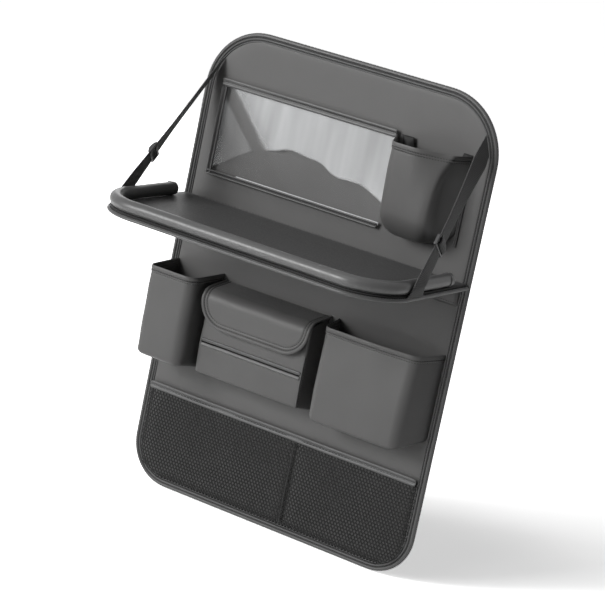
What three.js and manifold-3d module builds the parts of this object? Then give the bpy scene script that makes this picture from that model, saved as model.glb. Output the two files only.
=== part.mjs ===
// Car seat back organizer: a padded panel that hangs behind a front seat, with a clear
// window pocket, a fold-down tray held level by two webbing straps, four pockets and a net.
// Millimetres. X is to the right as seen from the front, the front faces -Y, Z is up.
// The origin is the centre of the back lining's rear face.
import * as THREE from 'three';
import { mergeVertices } from 'three/addons/utils/BufferGeometryUtils.js';
import Module from 'manifold-3d';

const wasm = await Module();
wasm.setup();

// Clearance between pieces that are sewn or rest together.
const GAP = 0.3;

// Panel and the binding that wraps its edge
const PANEL_WIDTH = 450;
const PANEL_HEIGHT = 630;
const PANEL_TOP_RADIUS = 84;
const PANEL_BOTTOM_RADIUS = 59;
const PANEL_THICKNESS = 6;
const BINDING_WIDTH = 12;
const BINDING_ROLL = 5.5;
const BINDING_CLOTH = 1.2;
const BINDING_RIDGE = 3.2;
const BINDING_PROUD = 1;

// Lining and the two flat straps on the back
const LINING_THICKNESS = 1;
const LINING_MARGIN = 28;
const BACK_STRAP_WIDTH = 38;
const BACK_STRAP_THICKNESS = 1.6;
const BACK_STRAP_MARGIN = 34;
const BACK_STRAP_FROM_END = 62;
const BACK_STRAP_SPACE = 18;

// Window pocket: a clear film that stands off the panel, with folded trims
const WINDOW_FROM_EDGE = 31;
const WINDOW_TOP = 245.5;
const WINDOW_BOTTOM = 115.5;
const WINDOW_SIDE_TRIM = 9;
const WINDOW_TOP_TRIM = 10.8;
const WINDOW_BOTTOM_TRIM = 7.5;
const WINDOW_ROOM = 4.6;
const FILM_THICKNESS = 0.7;
const TRIM_THICKNESS = 2;

// Sewn pockets share one cloth thickness, hem and rounded base
const POCKET_WALL = 2.2;
const HEM_HEIGHT = 9;
const HEM_EXTRA = 0.9;

// Tray, in its own frame: the hinge line is its origin, the board runs to -Y
const HINGE_HEIGHT = 83.6;
const TRAY_REACH = 208;
const TRAY_CORNER = 66;
const TRAY_THICKNESS = 7.5;
const TRAY_EDGE_ROUND = 1.2;
const TRAY_DROOP = THREE.MathUtils.degToRad(1.8);
const TRAY_PIPING = 1.8;
const ROLL_RADIUS = 9.2;
const ROLL_FLAT_ANGLE = THREE.MathUtils.degToRad(30);
const ROLL_SET_BACK = 0.8;
const ROLL_START = 36;
const HINGE_FLAP_HEIGHT = 24;
const HINGE_FLAP_THICKNESS = 1.4;

// Webbing straps that hold the tray, and their adjusters
const STRAP_WIDTH = 25;
const STRAP_THICKNESS = 1.6;
const STRAP_TOP_ANGLE = THREE.MathUtils.degToRad(33);
const STRAP_LOW_ANGLE = THREE.MathUtils.degToRad(11);
const STRAP_FOOT_REACH = 129;
const STRAP_FOOT_WIDTH = 28;
const STRAP_FLARE = 8;
const STRAP_CLEARANCE = 0.5;
const SLIDER_AT = 0.7;
const SLIDER_LENGTH = 15;
const SLIDER_RIM = 3.2;
const SLIDER_THICKNESS = 5.4;
const SLIDER_BAR = 3;
const SLIDER_CLEARANCE = 0.5;

// Tissue pouch: the slot between two welts and the curved cover flap
const FLAP_OVERHANG = 4;
const FLAP_THICKNESS = 2.4;
const FLAP_DEPTH = 48;
const FLAP_BACK_HEIGHT = -14;
const FLAP_SLOPE = 0.17;
const FLAP_END_HEIGHT = -66;
const FLAP_BEND = 14;
const FLAP_CORNER = 38;
const FLAP_LEAN = 1.5;
const POUCH_EASE = 2;
const SLOT_HEIGHT = -92;
const SLOT_OPENING = 5;
const SLOT_MARGIN = 6;
const WELT_HEIGHT = 5;
const WELT_THICKNESS = 1.8;
const CORNER_PIPING = 1.2;

// Net pocket
const NET_TOP = -187;
const NET_BINDING = 10;
const NET_ROOM = 4.6;
const NET_THICKNESS = 1.1;
const NET_HOLE_WIDTH = 14;
const NET_HOLE_HEIGHT = 11;
const NET_PITCH_X = 20;
const NET_PITCH_Z = 16;
const NET_BORDER = 5;
const DIVIDER_X = 25;
const DIVIDER_WIDTH = 3;

// Planes shared by the pieces, from the back to the front
const PANEL_BACK = -(LINING_THICKNESS + GAP);
const PANEL_FRONT = PANEL_BACK - PANEL_THICKNESS;
const BINDING_FRONT = PANEL_FRONT - BINDING_PROUD;
const SEAT = PANEL_FRONT - GAP;
const HALF_WIDTH = PANEL_WIDTH / 2;
const INNER_EDGE = HALF_WIDTH - BINDING_WIDTH - GAP;

// Each pocket: its sides where they meet the panel, its front corners, how far it
// stands out at the rim and at the base, and the heights of its rim and base.
const UPPER_POCKET = {
  left: HALF_WIDTH - 147, right: HALF_WIDTH - 35, frontLeft: HALF_WIDTH - 122, frontRight: HALF_WIDTH - 54,
  depth: 53, baseDepth: 46,
  leftRadius: 14, rightRadius: 14, baseRadius: 9,
  rimBack: 239, rimFront: 238, baseBack: 122, baseFront: 118,
};
const BOTTLE_POCKET = {
  left: HEM_EXTRA - INNER_EDGE, right: -136, frontLeft: -209.5, frontRight: -139, depth: 65, baseDepth: 63,
  leftRadius: 8, rightRadius: 15, baseRadius: 8,
  rimBack: -6, rimFront: -10, baseBack: -138, baseFront: -132,
};
const LARGE_POCKET = {
  left: 51, right: INNER_EDGE - HEM_EXTRA, frontLeft: 60, frontRight: 192, depth: 46, baseDepth: 44,
  leftRadius: 9, rightRadius: 16, baseRadius: 6,
  rimBack: -12, rimFront: -16, baseBack: -129, baseFront: -142,
};
const TISSUE_POUCH = {
  left: -127, right: 36, frontLeft: -127, frontRight: 36, depth: 39, baseDepth: 38,
  leftRadius: 2, rightRadius: 2, baseRadius: 3,
  rimBack: FLAP_BACK_HEIGHT - FLAP_THICKNESS - GAP,
  rimFront: FLAP_BACK_HEIGHT - FLAP_THICKNESS - GAP - FLAP_SLOPE * FLAP_DEPTH - POUCH_EASE,
  baseBack: -142, baseFront: -135,
};

// The window starts near the panel's edge and ends where the upper pocket is sewn on.
const WINDOW_LEFT = WINDOW_FROM_EDGE - HALF_WIDTH;
const WINDOW_RIGHT = UPPER_POCKET.left - HEM_EXTRA - GAP;

// Looks
const LEATHER = { color: 0x5d5d5e, roughness: 0.48, metalness: 0 };
const LEATHER_EDGE = { color: 0x636364, roughness: 0.42, metalness: 0 };
const WEBBING = { color: 0x303031, roughness: 0.85, metalness: 0 };
const PLASTIC = { color: 0x202021, roughness: 0.35, metalness: 0 };
const NET = { color: 0x282829, roughness: 0.8, metalness: 0 };
const LINING = { color: 0x303031, roughness: 0.9, metalness: 0 };
const FILM = { color: 0xdfe3e6, roughness: 0.12, metalness: 0, transparent: true, opacity: 0.3 };

// A closed outline from corners [x, y, radius], in anticlockwise order.
function roundedPolygon(corners) {
  const outline = new THREE.Shape();
  const lineTo = ({ x, y }) => {
    if (outline.currentPoint.x === x && outline.currentPoint.y === y) return;
    outline.lineTo(x, y);
  };
  corners.forEach(([x, y, radius], i) => {
    const [lastX, lastY] = corners.at(i - 1);
    const [nextX, nextY] = corners[(i + 1) % corners.length];
    const corner = new THREE.Vector2(x, y);
    const back = new THREE.Vector2(lastX, lastY).sub(corner).normalize();
    const ahead = new THREE.Vector2(nextX, nextY).sub(corner).normalize();
    const half = Math.acos(back.dot(ahead)) / 2;
    const reach = radius / Math.tan(half);
    const inward = back.clone().add(ahead).setLength(radius / Math.sin(half));
    const start = corner.clone().addScaledVector(back, reach);
    const end = corner.clone().addScaledVector(ahead, reach);
    if (i === 0) outline.moveTo(start.x, start.y);
    else lineTo(start);
    if (!radius) return;
    const centre = corner.clone().add(inward);
    outline.absarc(centre.x, centre.y, radius, start.sub(centre).angle(), end.sub(centre).angle(),
      back.cross(ahead) > 0);
  });
  return outline;
}

// The panel's outline, moved inwards.
function panelOutline(inset) {
  const x = PANEL_WIDTH / 2 - inset;
  const z = PANEL_HEIGHT / 2 - inset;
  const top = PANEL_TOP_RADIUS - inset;
  const bottom = PANEL_BOTTOM_RADIUS - inset;
  return roundedPolygon([[-x, -z, bottom], [x, -z, bottom], [x, z, top], [-x, z, top]]);
}

// Swaps the winding of a geometry whose faces point inwards.
function facingOut(geometry) {
  const at = (i) => new THREE.Vector3().fromBufferAttribute(geometry.attributes.position, i);
  const index = geometry.index.array;
  let volume = 0;
  for (let i = 0; i < index.length; i += 3) {
    volume += at(index[i]).dot(at(index[i + 1]).cross(at(index[i + 2])));
  }
  if (volume < 0) {
    for (let i = 0; i < index.length; i += 3) [index[i], index[i + 1]] = [index[i + 1], index[i]];
  }
  return geometry;
}

// A three.js geometry as a solid that can be joined and cut.
function solid(geometry) {
  const bare = geometry.clone();
  bare.deleteAttribute('normal');
  bare.deleteAttribute('uv');
  const merged = facingOut(mergeVertices(bare, 1e-4));
  return new wasm.Manifold(new wasm.Mesh({
    numProp: 3,
    vertProperties: new Float32Array(merged.attributes.position.array),
    triVerts: new Uint32Array(merged.index.array),
  }));
}

// A solid as a three.js geometry.
function geometryOf(body) {
  const { vertProperties, triVerts } = body.getMesh();
  const geometry = new THREE.BufferGeometry();
  geometry.setAttribute('position', new THREE.BufferAttribute(vertProperties, 3));
  geometry.setIndex(new THREE.BufferAttribute(triVerts, 1));
  geometry.computeVertexNormals();
  return geometry;
}

function piece(name, body, look) {
  const mesh = new THREE.Mesh(geometryOf(body), new THREE.MeshStandardMaterial(look));
  mesh.name = name;
  return mesh;
}

// An outline drawn as seen from the front, extruded from one plane to another.
function plate(outline, back, front, curveSegments = 4) {
  const geometry = new THREE.ExtrudeGeometry(outline, {
    depth: back - front, steps: 1, curveSegments, bevelEnabled: false,
  });
  geometry.rotateX(Math.PI / 2);
  geometry.translate(0, back, 0);
  return solid(geometry);
}

// A box between two corners.
function box([x0, y0, z0], [x1, y1, z1]) {
  const geometry = new THREE.BoxGeometry(x1 - x0, y1 - y0, z1 - z0);
  geometry.translate((x0 + x1) / 2, (y0 + y1) / 2, (z0 + z1) / 2);
  return solid(geometry);
}

// A section carried through numbered stations: place gives each of its points there.
function swept(section, spans, place, curveSegments = 3) {
  const geometry = new THREE.ExtrudeGeometry(section, {
    depth: spans, steps: spans, curveSegments, bevelEnabled: false,
  });
  const points = geometry.attributes.position;
  for (let i = 0; i < points.count; i += 1) {
    const spot = place(points.getX(i), points.getY(i), Math.round(points.getZ(i)));
    points.setXYZ(i, spot.x, spot.y, spot.z);
  }
  return solid(geometry);
}

// The panel is full thickness inside the binding and pressed thinner under it.
function backPanel() {
  const core = plate(panelOutline(BINDING_WIDTH + GAP), PANEL_BACK, PANEL_FRONT);
  const rimBack = PANEL_BACK - BINDING_CLOTH - GAP;
  const rimFront = PANEL_FRONT + BINDING_CLOTH + GAP;
  return core.add(plate(panelOutline(BINDING_ROLL + GAP), rimBack, rimFront));
}

// A ring that follows the panel's edge between two insets.
function edgeRing(outer, inner, back, front) {
  const reach = 1;
  const hole = plate(panelOutline(inner), back + reach, front - reach);
  return plate(panelOutline(outer), back, front).subtract(hole);
}

// Outside in: a round roll, a stitched groove and a raised ridge, with a lip behind.
function edgeBinding() {
  const round = 2;
  const thickness = PANEL_BACK - BINDING_FRONT;
  const geometry = new THREE.ExtrudeGeometry(panelOutline(0), {
    depth: thickness - 2 * round, steps: 1, curveSegments: 4,
    bevelThickness: round, bevelSize: round, bevelOffset: -round, bevelSegments: 2,
  });
  geometry.rotateX(Math.PI / 2);
  geometry.translate(0, PANEL_BACK - round, 0);
  const hole = plate(panelOutline(BINDING_ROLL), PANEL_BACK + 1, BINDING_FRONT - 1);
  const lipOuter = BINDING_ROLL - 0.5;
  const lip = edgeRing(lipOuter, BINDING_WIDTH, PANEL_BACK, PANEL_BACK - BINDING_CLOTH);
  const grooveBack = PANEL_FRONT + BINDING_CLOTH;
  const grooveFront = PANEL_FRONT + GAP;
  const groove = edgeRing(lipOuter, BINDING_WIDTH, grooveBack, grooveFront);
  const ridge = edgeRing(BINDING_WIDTH - BINDING_RIDGE, BINDING_WIDTH, grooveFront, BINDING_FRONT);
  return solid(geometry).subtract(hole).add(lip).add(groove).add(ridge);
}

// Half the height that the lining covers, clear of the two straps.
const LINING_HALF_HEIGHT = PANEL_HEIGHT / 2 - BACK_STRAP_FROM_END - BACK_STRAP_WIDTH / 2
  - BACK_STRAP_SPACE;

function backLining() {
  const x = PANEL_WIDTH / 2 - LINING_MARGIN;
  const z = LINING_HALF_HEIGHT;
  const corner = 12;
  const outline = roundedPolygon([[-x, -z, corner], [x, -z, corner], [x, z, corner], [-x, z, corner]]);
  return plate(outline, 0, -LINING_THICKNESS, 2);
}

function backStrap(height) {
  const x = PANEL_WIDTH / 2 - BACK_STRAP_MARGIN;
  const back = PANEL_BACK + GAP + BACK_STRAP_THICKNESS;
  const half = BACK_STRAP_WIDTH / 2;
  return box([-x, back - BACK_STRAP_THICKNESS, height - half], [x, back, height + half]);
}

// A folded strip of cloth, stitched along its middle so that two ridges stand out.
// It runs from one point to another as seen from the front, to the left of that way.
function foldedStrip([x0, z0], [x1, z1], width, back, thickness) {
  const groove = 0.35 * thickness;
  const edge = 0.3 * width;
  const section = roundedPolygon([
    [0, 0, 0], [width, 0, 0], [width, thickness - groove, 0], [width - edge / 2, thickness, 0],
    [width - edge, thickness, 0], [width / 2, thickness - groove, 0], [edge, thickness, 0],
    [edge / 2, thickness, 0], [0, thickness - groove, 0],
  ]);
  const length = Math.hypot(x1 - x0, z1 - z0);
  const along = [(x1 - x0) / length, (z1 - z0) / length];
  return swept(section, 1, (across, out, i) => new THREE.Vector3(
    x0 + along[0] * length * i - along[1] * across,
    back - out,
    z0 + along[1] * length * i + along[0] * across,
  ));
}

const FILM_BACK = PANEL_FRONT - WINDOW_ROOM;
const TRIM_FRONT = FILM_BACK - TRIM_THICKNESS;
const WINDOW_FOOT = 7;

function windowFilm() {
  const left = WINDOW_LEFT + WINDOW_SIDE_TRIM + GAP;
  const low = WINDOW_BOTTOM + WINDOW_BOTTOM_TRIM + GAP;
  const high = WINDOW_TOP - WINDOW_TOP_TRIM - GAP;
  return box([left, FILM_BACK - FILM_THICKNESS, low], [WINDOW_RIGHT, FILM_BACK, high]);
}

// The top trim is the free mouth of the window pocket, carried at its two ends.
function windowTopTrim() {
  const low = WINDOW_TOP - WINDOW_TOP_TRIM;
  const strip = foldedStrip([WINDOW_LEFT, low], [WINDOW_RIGHT, low], WINDOW_TOP_TRIM, FILM_BACK,
    TRIM_THICKNESS);
  const footFront = FILM_BACK - TRIM_THICKNESS / 3;
  const leftFoot = box([WINDOW_LEFT, footFront, low], [WINDOW_LEFT + WINDOW_SIDE_TRIM, SEAT, WINDOW_TOP]);
  const rightFoot = box([WINDOW_RIGHT - WINDOW_FOOT, footFront, low], [WINDOW_RIGHT, SEAT, WINDOW_TOP]);
  return strip.add(leftFoot).add(rightFoot);
}

function windowLeftTrim() {
  const low = WINDOW_BOTTOM + WINDOW_BOTTOM_TRIM + GAP;
  const high = WINDOW_TOP - WINDOW_TOP_TRIM - GAP;
  const right = WINDOW_LEFT + WINDOW_SIDE_TRIM;
  return foldedStrip([right, low], [right, high], WINDOW_SIDE_TRIM, SEAT, SEAT - TRIM_FRONT);
}

function windowBottomTrim() {
  return foldedStrip([WINDOW_LEFT, WINDOW_BOTTOM], [WINDOW_RIGHT, WINDOW_BOTTOM],
    WINDOW_BOTTOM_TRIM, SEAT, SEAT - TRIM_FRONT);
}

// A pocket's outer form between stations that stand above its base or below its rim.
function pocketForm(pocket, grow, reach, stations) {
  const leftRun = (pocket.frontLeft - pocket.left) / pocket.depth;
  const rightRun = (pocket.right - pocket.frontRight) / pocket.depth;
  const plan = roundedPolygon([
    [pocket.left - grow - leftRun * reach, -reach, 0],
    [pocket.right + grow + rightRun * reach, -reach, 0],
    [pocket.frontRight + grow, pocket.depth + grow, pocket.rightRadius + grow],
    [pocket.frontLeft - grow, pocket.depth + grow, pocket.leftRadius + grow],
  ]);
  const middle = (pocket.left + pocket.right) / 2;
  const half = (pocket.right - pocket.left) / 2;
  return swept(plan, stations.length - 1, (x, out, i) => {
    const { up, down, shrink = 0 } = stations[i];
    const share = out / pocket.depth;
    const base = THREE.MathUtils.lerp(pocket.baseBack, pocket.baseFront, share);
    const rim = THREE.MathUtils.lerp(pocket.rimBack, pocket.rimFront, share);
    const z = up === undefined ? rim - down : base + up;
    const depth = THREE.MathUtils.lerp(pocket.baseDepth, pocket.depth, (z - base) / (rim - base));
    return new THREE.Vector3(
      middle + (x - middle) * (1 - shrink / half),
      SEAT - share * (depth - shrink),
      z,
    );
  });
}

// Stations of a rounded base, lifted by a wall, up to a distance below the rim.
function baseStations(radius, lift, down) {
  const steps = 3;
  const stations = [];
  for (let i = 0; i <= steps; i += 1) {
    const turn = (i / steps) * Math.PI / 2;
    stations.push({
      up: lift + radius * (1 - Math.cos(turn)),
      shrink: radius * (1 - Math.sin(turn)),
    });
  }
  stations.push({ down });
  return stations;
}

// An open pocket whose back is the panel, with a thicker folded hem at its rim.
function sewnPocket(pocket, hemExtra = HEM_EXTRA) {
  const over = 4;
  const shell = pocketForm(pocket, 0, 0, baseStations(pocket.baseRadius, 0, 0));
  const hem = pocketForm(pocket, hemExtra, 0, [{ down: HEM_HEIGHT }, { down: 0 }]);
  const room = pocketForm(pocket, -POCKET_WALL, over,
    baseStations(pocket.baseRadius, POCKET_WALL, -over));
  return shell.add(hem).subtract(room);
}

const SLOT_LEFT = TISSUE_POUCH.left + SLOT_MARGIN;
const SLOT_RIGHT = TISSUE_POUCH.right - SLOT_MARGIN;

// How far the pouch's front stands out at a height.
function pouchFront(height) {
  const share = (height - TISSUE_POUCH.baseFront) / (TISSUE_POUCH.rimFront - TISSUE_POUCH.baseFront);
  return SEAT - THREE.MathUtils.lerp(TISSUE_POUCH.baseDepth, TISSUE_POUCH.depth, share);
}

function tissuePouch() {
  const front = pouchFront(SLOT_HEIGHT);
  const slot = box([SLOT_LEFT, front - POCKET_WALL, SLOT_HEIGHT - SLOT_OPENING / 2],
    [SLOT_RIGHT, front + 2 * POCKET_WALL, SLOT_HEIGHT + SLOT_OPENING / 2]);
  return sewnPocket(TISSUE_POUCH, 0).subtract(slot);
}

// A folded welt above (+1) or below (-1) the slot, as wide as the pouch's front.
function slotWelt(side) {
  const edge = SLOT_HEIGHT + side * SLOT_OPENING / 2;
  const low = Math.min(edge, edge + side * WELT_HEIGHT);
  const back = Math.min(pouchFront(low), pouchFront(low + WELT_HEIGHT)) - GAP;
  const section = roundedPolygon([
    [0, 0, 0], [WELT_THICKNESS, 0, 0.8], [WELT_THICKNESS, WELT_HEIGHT, 0.8], [0, WELT_HEIGHT, 0],
  ]);
  const span = TISSUE_POUCH.right - TISSUE_POUCH.left - 2 * POCKET_WALL;
  return swept(section, 1, (out, up, i) => new THREE.Vector3(
    TISSUE_POUCH.left + POCKET_WALL + span * i, back - out, low + up,
  ), 2);
}

// The piping down the pouch's right front corner.
function pouchPiping() {
  const low = TISSUE_POUCH.baseFront + TISSUE_POUCH.baseRadius;
  const high = FLAP_END_HEIGHT - GAP;
  const section = new THREE.Shape().absarc(0, 0, CORNER_PIPING, 0, 2 * Math.PI);
  const corner = TISSUE_POUCH.rightRadius;
  const offset = (corner + CORNER_PIPING + GAP) * Math.SQRT1_2 - corner;
  return swept(section, 1, (x, y, i) => {
    const z = THREE.MathUtils.lerp(low, high, i);
    return new THREE.Vector3(TISSUE_POUCH.right + offset + x, pouchFront(z) - offset + y, z);
  }, 4);
}

// The cover flap: out from the panel, bent down over the front, its corners rounded.
function tissueFlap() {
  const left = TISSUE_POUCH.left - FLAP_OVERHANG;
  const right = TISSUE_POUCH.right + FLAP_OVERHANG;
  const top = FLAP_BACK_HEIGHT;
  const bend = top - FLAP_SLOPE * FLAP_DEPTH;
  const inner = FLAP_DEPTH - FLAP_THICKNESS;
  const section = roundedPolygon([
    [0, top, 0], [0, top - FLAP_THICKNESS, 0],
    [inner, top - FLAP_SLOPE * inner - FLAP_THICKNESS, FLAP_BEND - FLAP_THICKNESS],
    [inner - FLAP_LEAN, FLAP_END_HEIGHT, 0], [FLAP_DEPTH - FLAP_LEAN, FLAP_END_HEIGHT, 0],
    [FLAP_DEPTH, bend, FLAP_BEND],
  ]);
  const sheet = swept(section, 1, (out, up, i) => new THREE.Vector3(
    THREE.MathUtils.lerp(left, right, i), SEAT - out, up,
  ), 4);
  const mask = roundedPolygon([
    [left, FLAP_END_HEIGHT, FLAP_CORNER], [right, FLAP_END_HEIGHT, FLAP_CORNER],
    [right, top + 1, 0], [left, top + 1, 0],
  ]);
  return sheet.intersect(plate(mask, SEAT + 1, SEAT - FLAP_DEPTH - 1, 5));
}

// The tray's outline in plan, moved inwards at the front and sides.
function trayOutline(inset) {
  const x = PANEL_WIDTH / 2 - inset;
  const y = -(TRAY_REACH - inset);
  const corner = TRAY_CORNER - inset;
  return roundedPolygon([[-x, 0, 0], [-x, y, corner], [x, y, corner], [x, 0, 0]]);
}

// The board rounds over at its edges and stops short of the piping.
const BOARD_INSET = 2 * TRAY_PIPING + GAP;

function trayBoard() {
  const geometry = new THREE.ExtrudeGeometry(trayOutline(BOARD_INSET), {
    depth: TRAY_THICKNESS - 2 * TRAY_EDGE_ROUND, steps: 1, curveSegments: 4,
    bevelThickness: TRAY_EDGE_ROUND, bevelSize: TRAY_EDGE_ROUND, bevelOffset: -TRAY_EDGE_ROUND,
    bevelSegments: 1,
  });
  geometry.translate(0, 0, TRAY_EDGE_ROUND - TRAY_THICKNESS);
  return solid(geometry);
}

// Stations along the tray's rim, from the left arm round the front to the right arm:
// each has its place and the way outwards. The ends close over like a stuffed roll.
function rimStations(inset, start, endRadius) {
  const x = PANEL_WIDTH / 2 - inset;
  const y = -(TRAY_REACH - inset);
  const corner = TRAY_CORNER - inset;
  const steps = 8;
  const left = [];
  for (const turn of endRadius ? [15, 45, 75] : []) {
    const angle = THREE.MathUtils.degToRad(turn);
    const along = -start - endRadius * (1 - Math.cos(angle - Math.PI / 2));
    left.push({ x: -x, y: along, outX: -1, outY: 0, scale: Math.sin(angle) });
  }
  left.push({ x: -x, y: -start - endRadius, outX: -1, outY: 0, scale: 1 });
  for (let i = 0; i <= steps; i += 1) {
    const angle = Math.PI + (i / steps) * Math.PI / 2;
    const outX = Math.cos(angle);
    const outY = Math.sin(angle);
    left.push({
      x: -x + corner + corner * outX, y: y + corner + corner * outY, outX, outY, scale: 1,
    });
  }
  const right = left.toReversed().map((s) => ({ ...s, x: -s.x, outX: -s.outX }));
  return [...left, ...right];
}

// A section carried round the tray's rim at a height above the board.
function rimSweep(section, inset, height, start, endRadius, curveSegments) {
  const stations = rimStations(inset, start, endRadius);
  return swept(section, stations.length - 1, (out, up, i) => {
    const { x, y, outX, outY, scale } = stations[i];
    return new THREE.Vector3(x + outX * out * scale, y + outY * out * scale, height + up * scale);
  }, curveSegments);
}

const ROLL_INSET = ROLL_RADIUS + ROLL_SET_BACK;
const ROLL_HEIGHT = GAP + ROLL_RADIUS * Math.cos(ROLL_FLAT_ANGLE);

// The padded roll is round, with a flat where it is sewn down on the board.
function trayRoll() {
  const section = new THREE.Shape();
  section.absarc(0, 0, ROLL_RADIUS, ROLL_FLAT_ANGLE - Math.PI / 2,
    1.5 * Math.PI - ROLL_FLAT_ANGLE);
  return rimSweep(section, ROLL_INSET, ROLL_HEIGHT, ROLL_START, ROLL_RADIUS, 6);
}

function trayPiping() {
  const section = new THREE.Shape().absarc(0, 0, TRAY_PIPING, 0, 2 * Math.PI);
  return rimSweep(section, TRAY_PIPING, TRAY_PIPING - TRAY_THICKNESS, GAP, 0, 3);
}

// The board's lower back corner swings towards the panel as the tray droops.
const HINGE_Y = BINDING_FRONT - GAP - TRAY_THICKNESS * Math.sin(TRAY_DROOP);

// The cloth flap that sews the tray to the panel, just under the hinge.
function hingeFlap() {
  const high = HINGE_HEIGHT - TRAY_THICKNESS - GAP;
  return box([-INNER_EDGE, SEAT - HINGE_FLAP_THICKNESS, high - HINGE_FLAP_HEIGHT],
    [INNER_EDGE, SEAT, high]);
}

// Edges of a holding strap at its stations: the seam along the panel's corner, the free
// span, the side of the roll and the foot above the piping. side is -1 left, +1 right.
function strapStations(side, tray) {
  const centreX = PANEL_WIDTH / 2 - PANEL_TOP_RADIUS;
  const centreZ = PANEL_HEIGHT / 2 - PANEL_TOP_RADIUS;
  const radius = PANEL_TOP_RADIUS - BINDING_WIDTH;
  const seamY = BINDING_FRONT - GAP - STRAP_THICKNESS / 2;
  const seam = [STRAP_TOP_ANGLE, STRAP_LOW_ANGLE].map((angle) => new THREE.Vector3(
    side * (centreX + radius * Math.cos(angle)), seamY, centreZ + radius * Math.sin(angle),
  ));
  const onTray = (x, y, z) => tray.localToWorld(new THREE.Vector3(side * x, y, z));
  const clear = STRAP_CLEARANCE + STRAP_THICKNESS / 2;
  const rollX = PANEL_WIDTH / 2 - ROLL_SET_BACK + clear;
  const half = STRAP_FOOT_WIDTH / 2;
  const besideRoll = [
    onTray(rollX, -STRAP_FOOT_REACH - half, ROLL_HEIGHT),
    onTray(rollX, -STRAP_FOOT_REACH + half, ROLL_HEIGHT),
  ];
  const footX = PANEL_WIDTH / 2 - BOARD_INSET + clear;
  const footZ = 2 * TRAY_PIPING - TRAY_THICKNESS + clear;
  const foot = [
    onTray(footX, -STRAP_FOOT_REACH - half - STRAP_FLARE / 2, footZ),
    onTray(footX, -STRAP_FOOT_REACH + half + STRAP_FLARE / 2, footZ),
  ];
  const free = [0.15, 0.4, SLIDER_AT, 0.9].map((share) => spanEdges(seam, besideRoll, share));
  return [seam, ...free, besideRoll, foot];
}

// The strap's two edges at a share of its free span, at its full width.
function spanEdges(seam, foot, share) {
  const start = seam[0].clone().lerp(seam[1], 0.5);
  const end = foot[0].clone().lerp(foot[1], 0.5);
  const along = end.clone().sub(start).normalize();
  const across = seam[1].clone().sub(seam[0]).lerp(foot[1].clone().sub(foot[0]), share);
  across.addScaledVector(along, -across.dot(along)).setLength(STRAP_WIDTH / 2);
  const centre = start.lerp(end, share);
  return [centre.clone().sub(across), centre.clone().add(across)];
}

function trayStrap(side, tray) {
  const edges = strapStations(side, tray);
  const middles = edges.map(([a, b]) => a.clone().lerp(b, 0.5));
  const normals = edges.map(([a, b], i) => {
    const along = middles[Math.min(i + 1, edges.length - 1)].clone().sub(middles[Math.max(i - 1, 0)]);
    return b.clone().sub(a).cross(along).normalize();
  });
  normals[0].set(0, Math.sign(normals[0].y), 0);
  const half = STRAP_THICKNESS / 2;
  const section = roundedPolygon([[0, -half, 0], [1, -half, 0], [1, half, 0], [0, half, 0]]);
  return swept(section, edges.length - 1, (across, out, i) => edges[i][0].clone()
    .lerp(edges[i][1], across).addScaledVector(normals[i], out));
}

// The adjuster: a plastic loop round the strap, its outer face open on both sides of a bar.
function strapSlider(side, tray) {
  const edges = strapStations(side, tray);
  const seam = edges[0];
  const besideRoll = edges.at(-2);
  const [a, b] = spanEdges(seam, besideRoll, SLIDER_AT);
  const across = b.clone().sub(a).normalize();
  const start = seam[0].clone().lerp(seam[1], 0.5);
  const along = besideRoll[0].clone().lerp(besideRoll[1], 0.5).sub(start).normalize();
  const out = along.clone().cross(across).normalize();
  if (out.x * side < 0) out.negate();
  const tunnelWidth = STRAP_WIDTH + 2 * SLIDER_CLEARANCE;
  const tunnelHeight = STRAP_THICKNESS + 2 * SLIDER_CLEARANCE;
  const width = tunnelWidth + 2 * SLIDER_RIM;
  const long = SLIDER_LENGTH / 2;
  const frame = box([-width / 2, -SLIDER_THICKNESS / 2, -long], [width / 2, SLIDER_THICKNESS / 2, long]);
  const tunnel = box([-tunnelWidth / 2, -tunnelHeight / 2, -long - 1],
    [tunnelWidth / 2, tunnelHeight / 2, long + 1]);
  const windowLength = (SLIDER_LENGTH - 3 * SLIDER_BAR) / 2;
  let body = frame.subtract(tunnel);
  for (const way of [-1, 1]) {
    const middle = way * (SLIDER_BAR + windowLength) / 2;
    body = body.subtract(box([-tunnelWidth / 2 + 1, 0, middle - windowLength / 2],
      [tunnelWidth / 2 - 1, SLIDER_THICKNESS, middle + windowLength / 2]));
  }
  const centre = a.clone().lerp(b, 0.5);
  const place = new THREE.Matrix4().makeBasis(across, out, across.clone().cross(out));
  place.setPosition(centre);
  return solid(geometryOf(body).applyMatrix4(place));
}

const NET_BACK = PANEL_FRONT - NET_ROOM;
const NET_FRONT = NET_BACK - NET_THICKNESS;

// The panel's inner outline below a height, moved inwards.
function netOutline(inset, top) {
  const x = INNER_EDGE - inset;
  const z = -(PANEL_HEIGHT / 2 - BINDING_WIDTH - GAP - inset);
  const corner = PANEL_BOTTOM_RADIUS - BINDING_WIDTH - GAP - inset;
  return roundedPolygon([[-x, z, corner], [x, z, corner], [x, top, 0], [-x, top, 0]]);
}

// Whether a diamond hole with its centre here stays inside the net's border.
function holeFits(x, z) {
  const reachX = INNER_EDGE - NET_BORDER - NET_HOLE_WIDTH / 2;
  const lowest = -(PANEL_HEIGHT / 2 - BINDING_WIDTH - GAP - NET_BORDER) + NET_HOLE_HEIGHT / 2;
  const corner = PANEL_BOTTOM_RADIUS - BINDING_WIDTH - NET_BORDER;
  const intoX = Math.abs(x) - (reachX - corner);
  const intoZ = lowest + corner - z;
  if (Math.abs(x) > reachX || z < lowest) return false;
  return intoX < 0 || intoZ < 0 || Math.hypot(intoX, intoZ) < corner;
}

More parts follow.
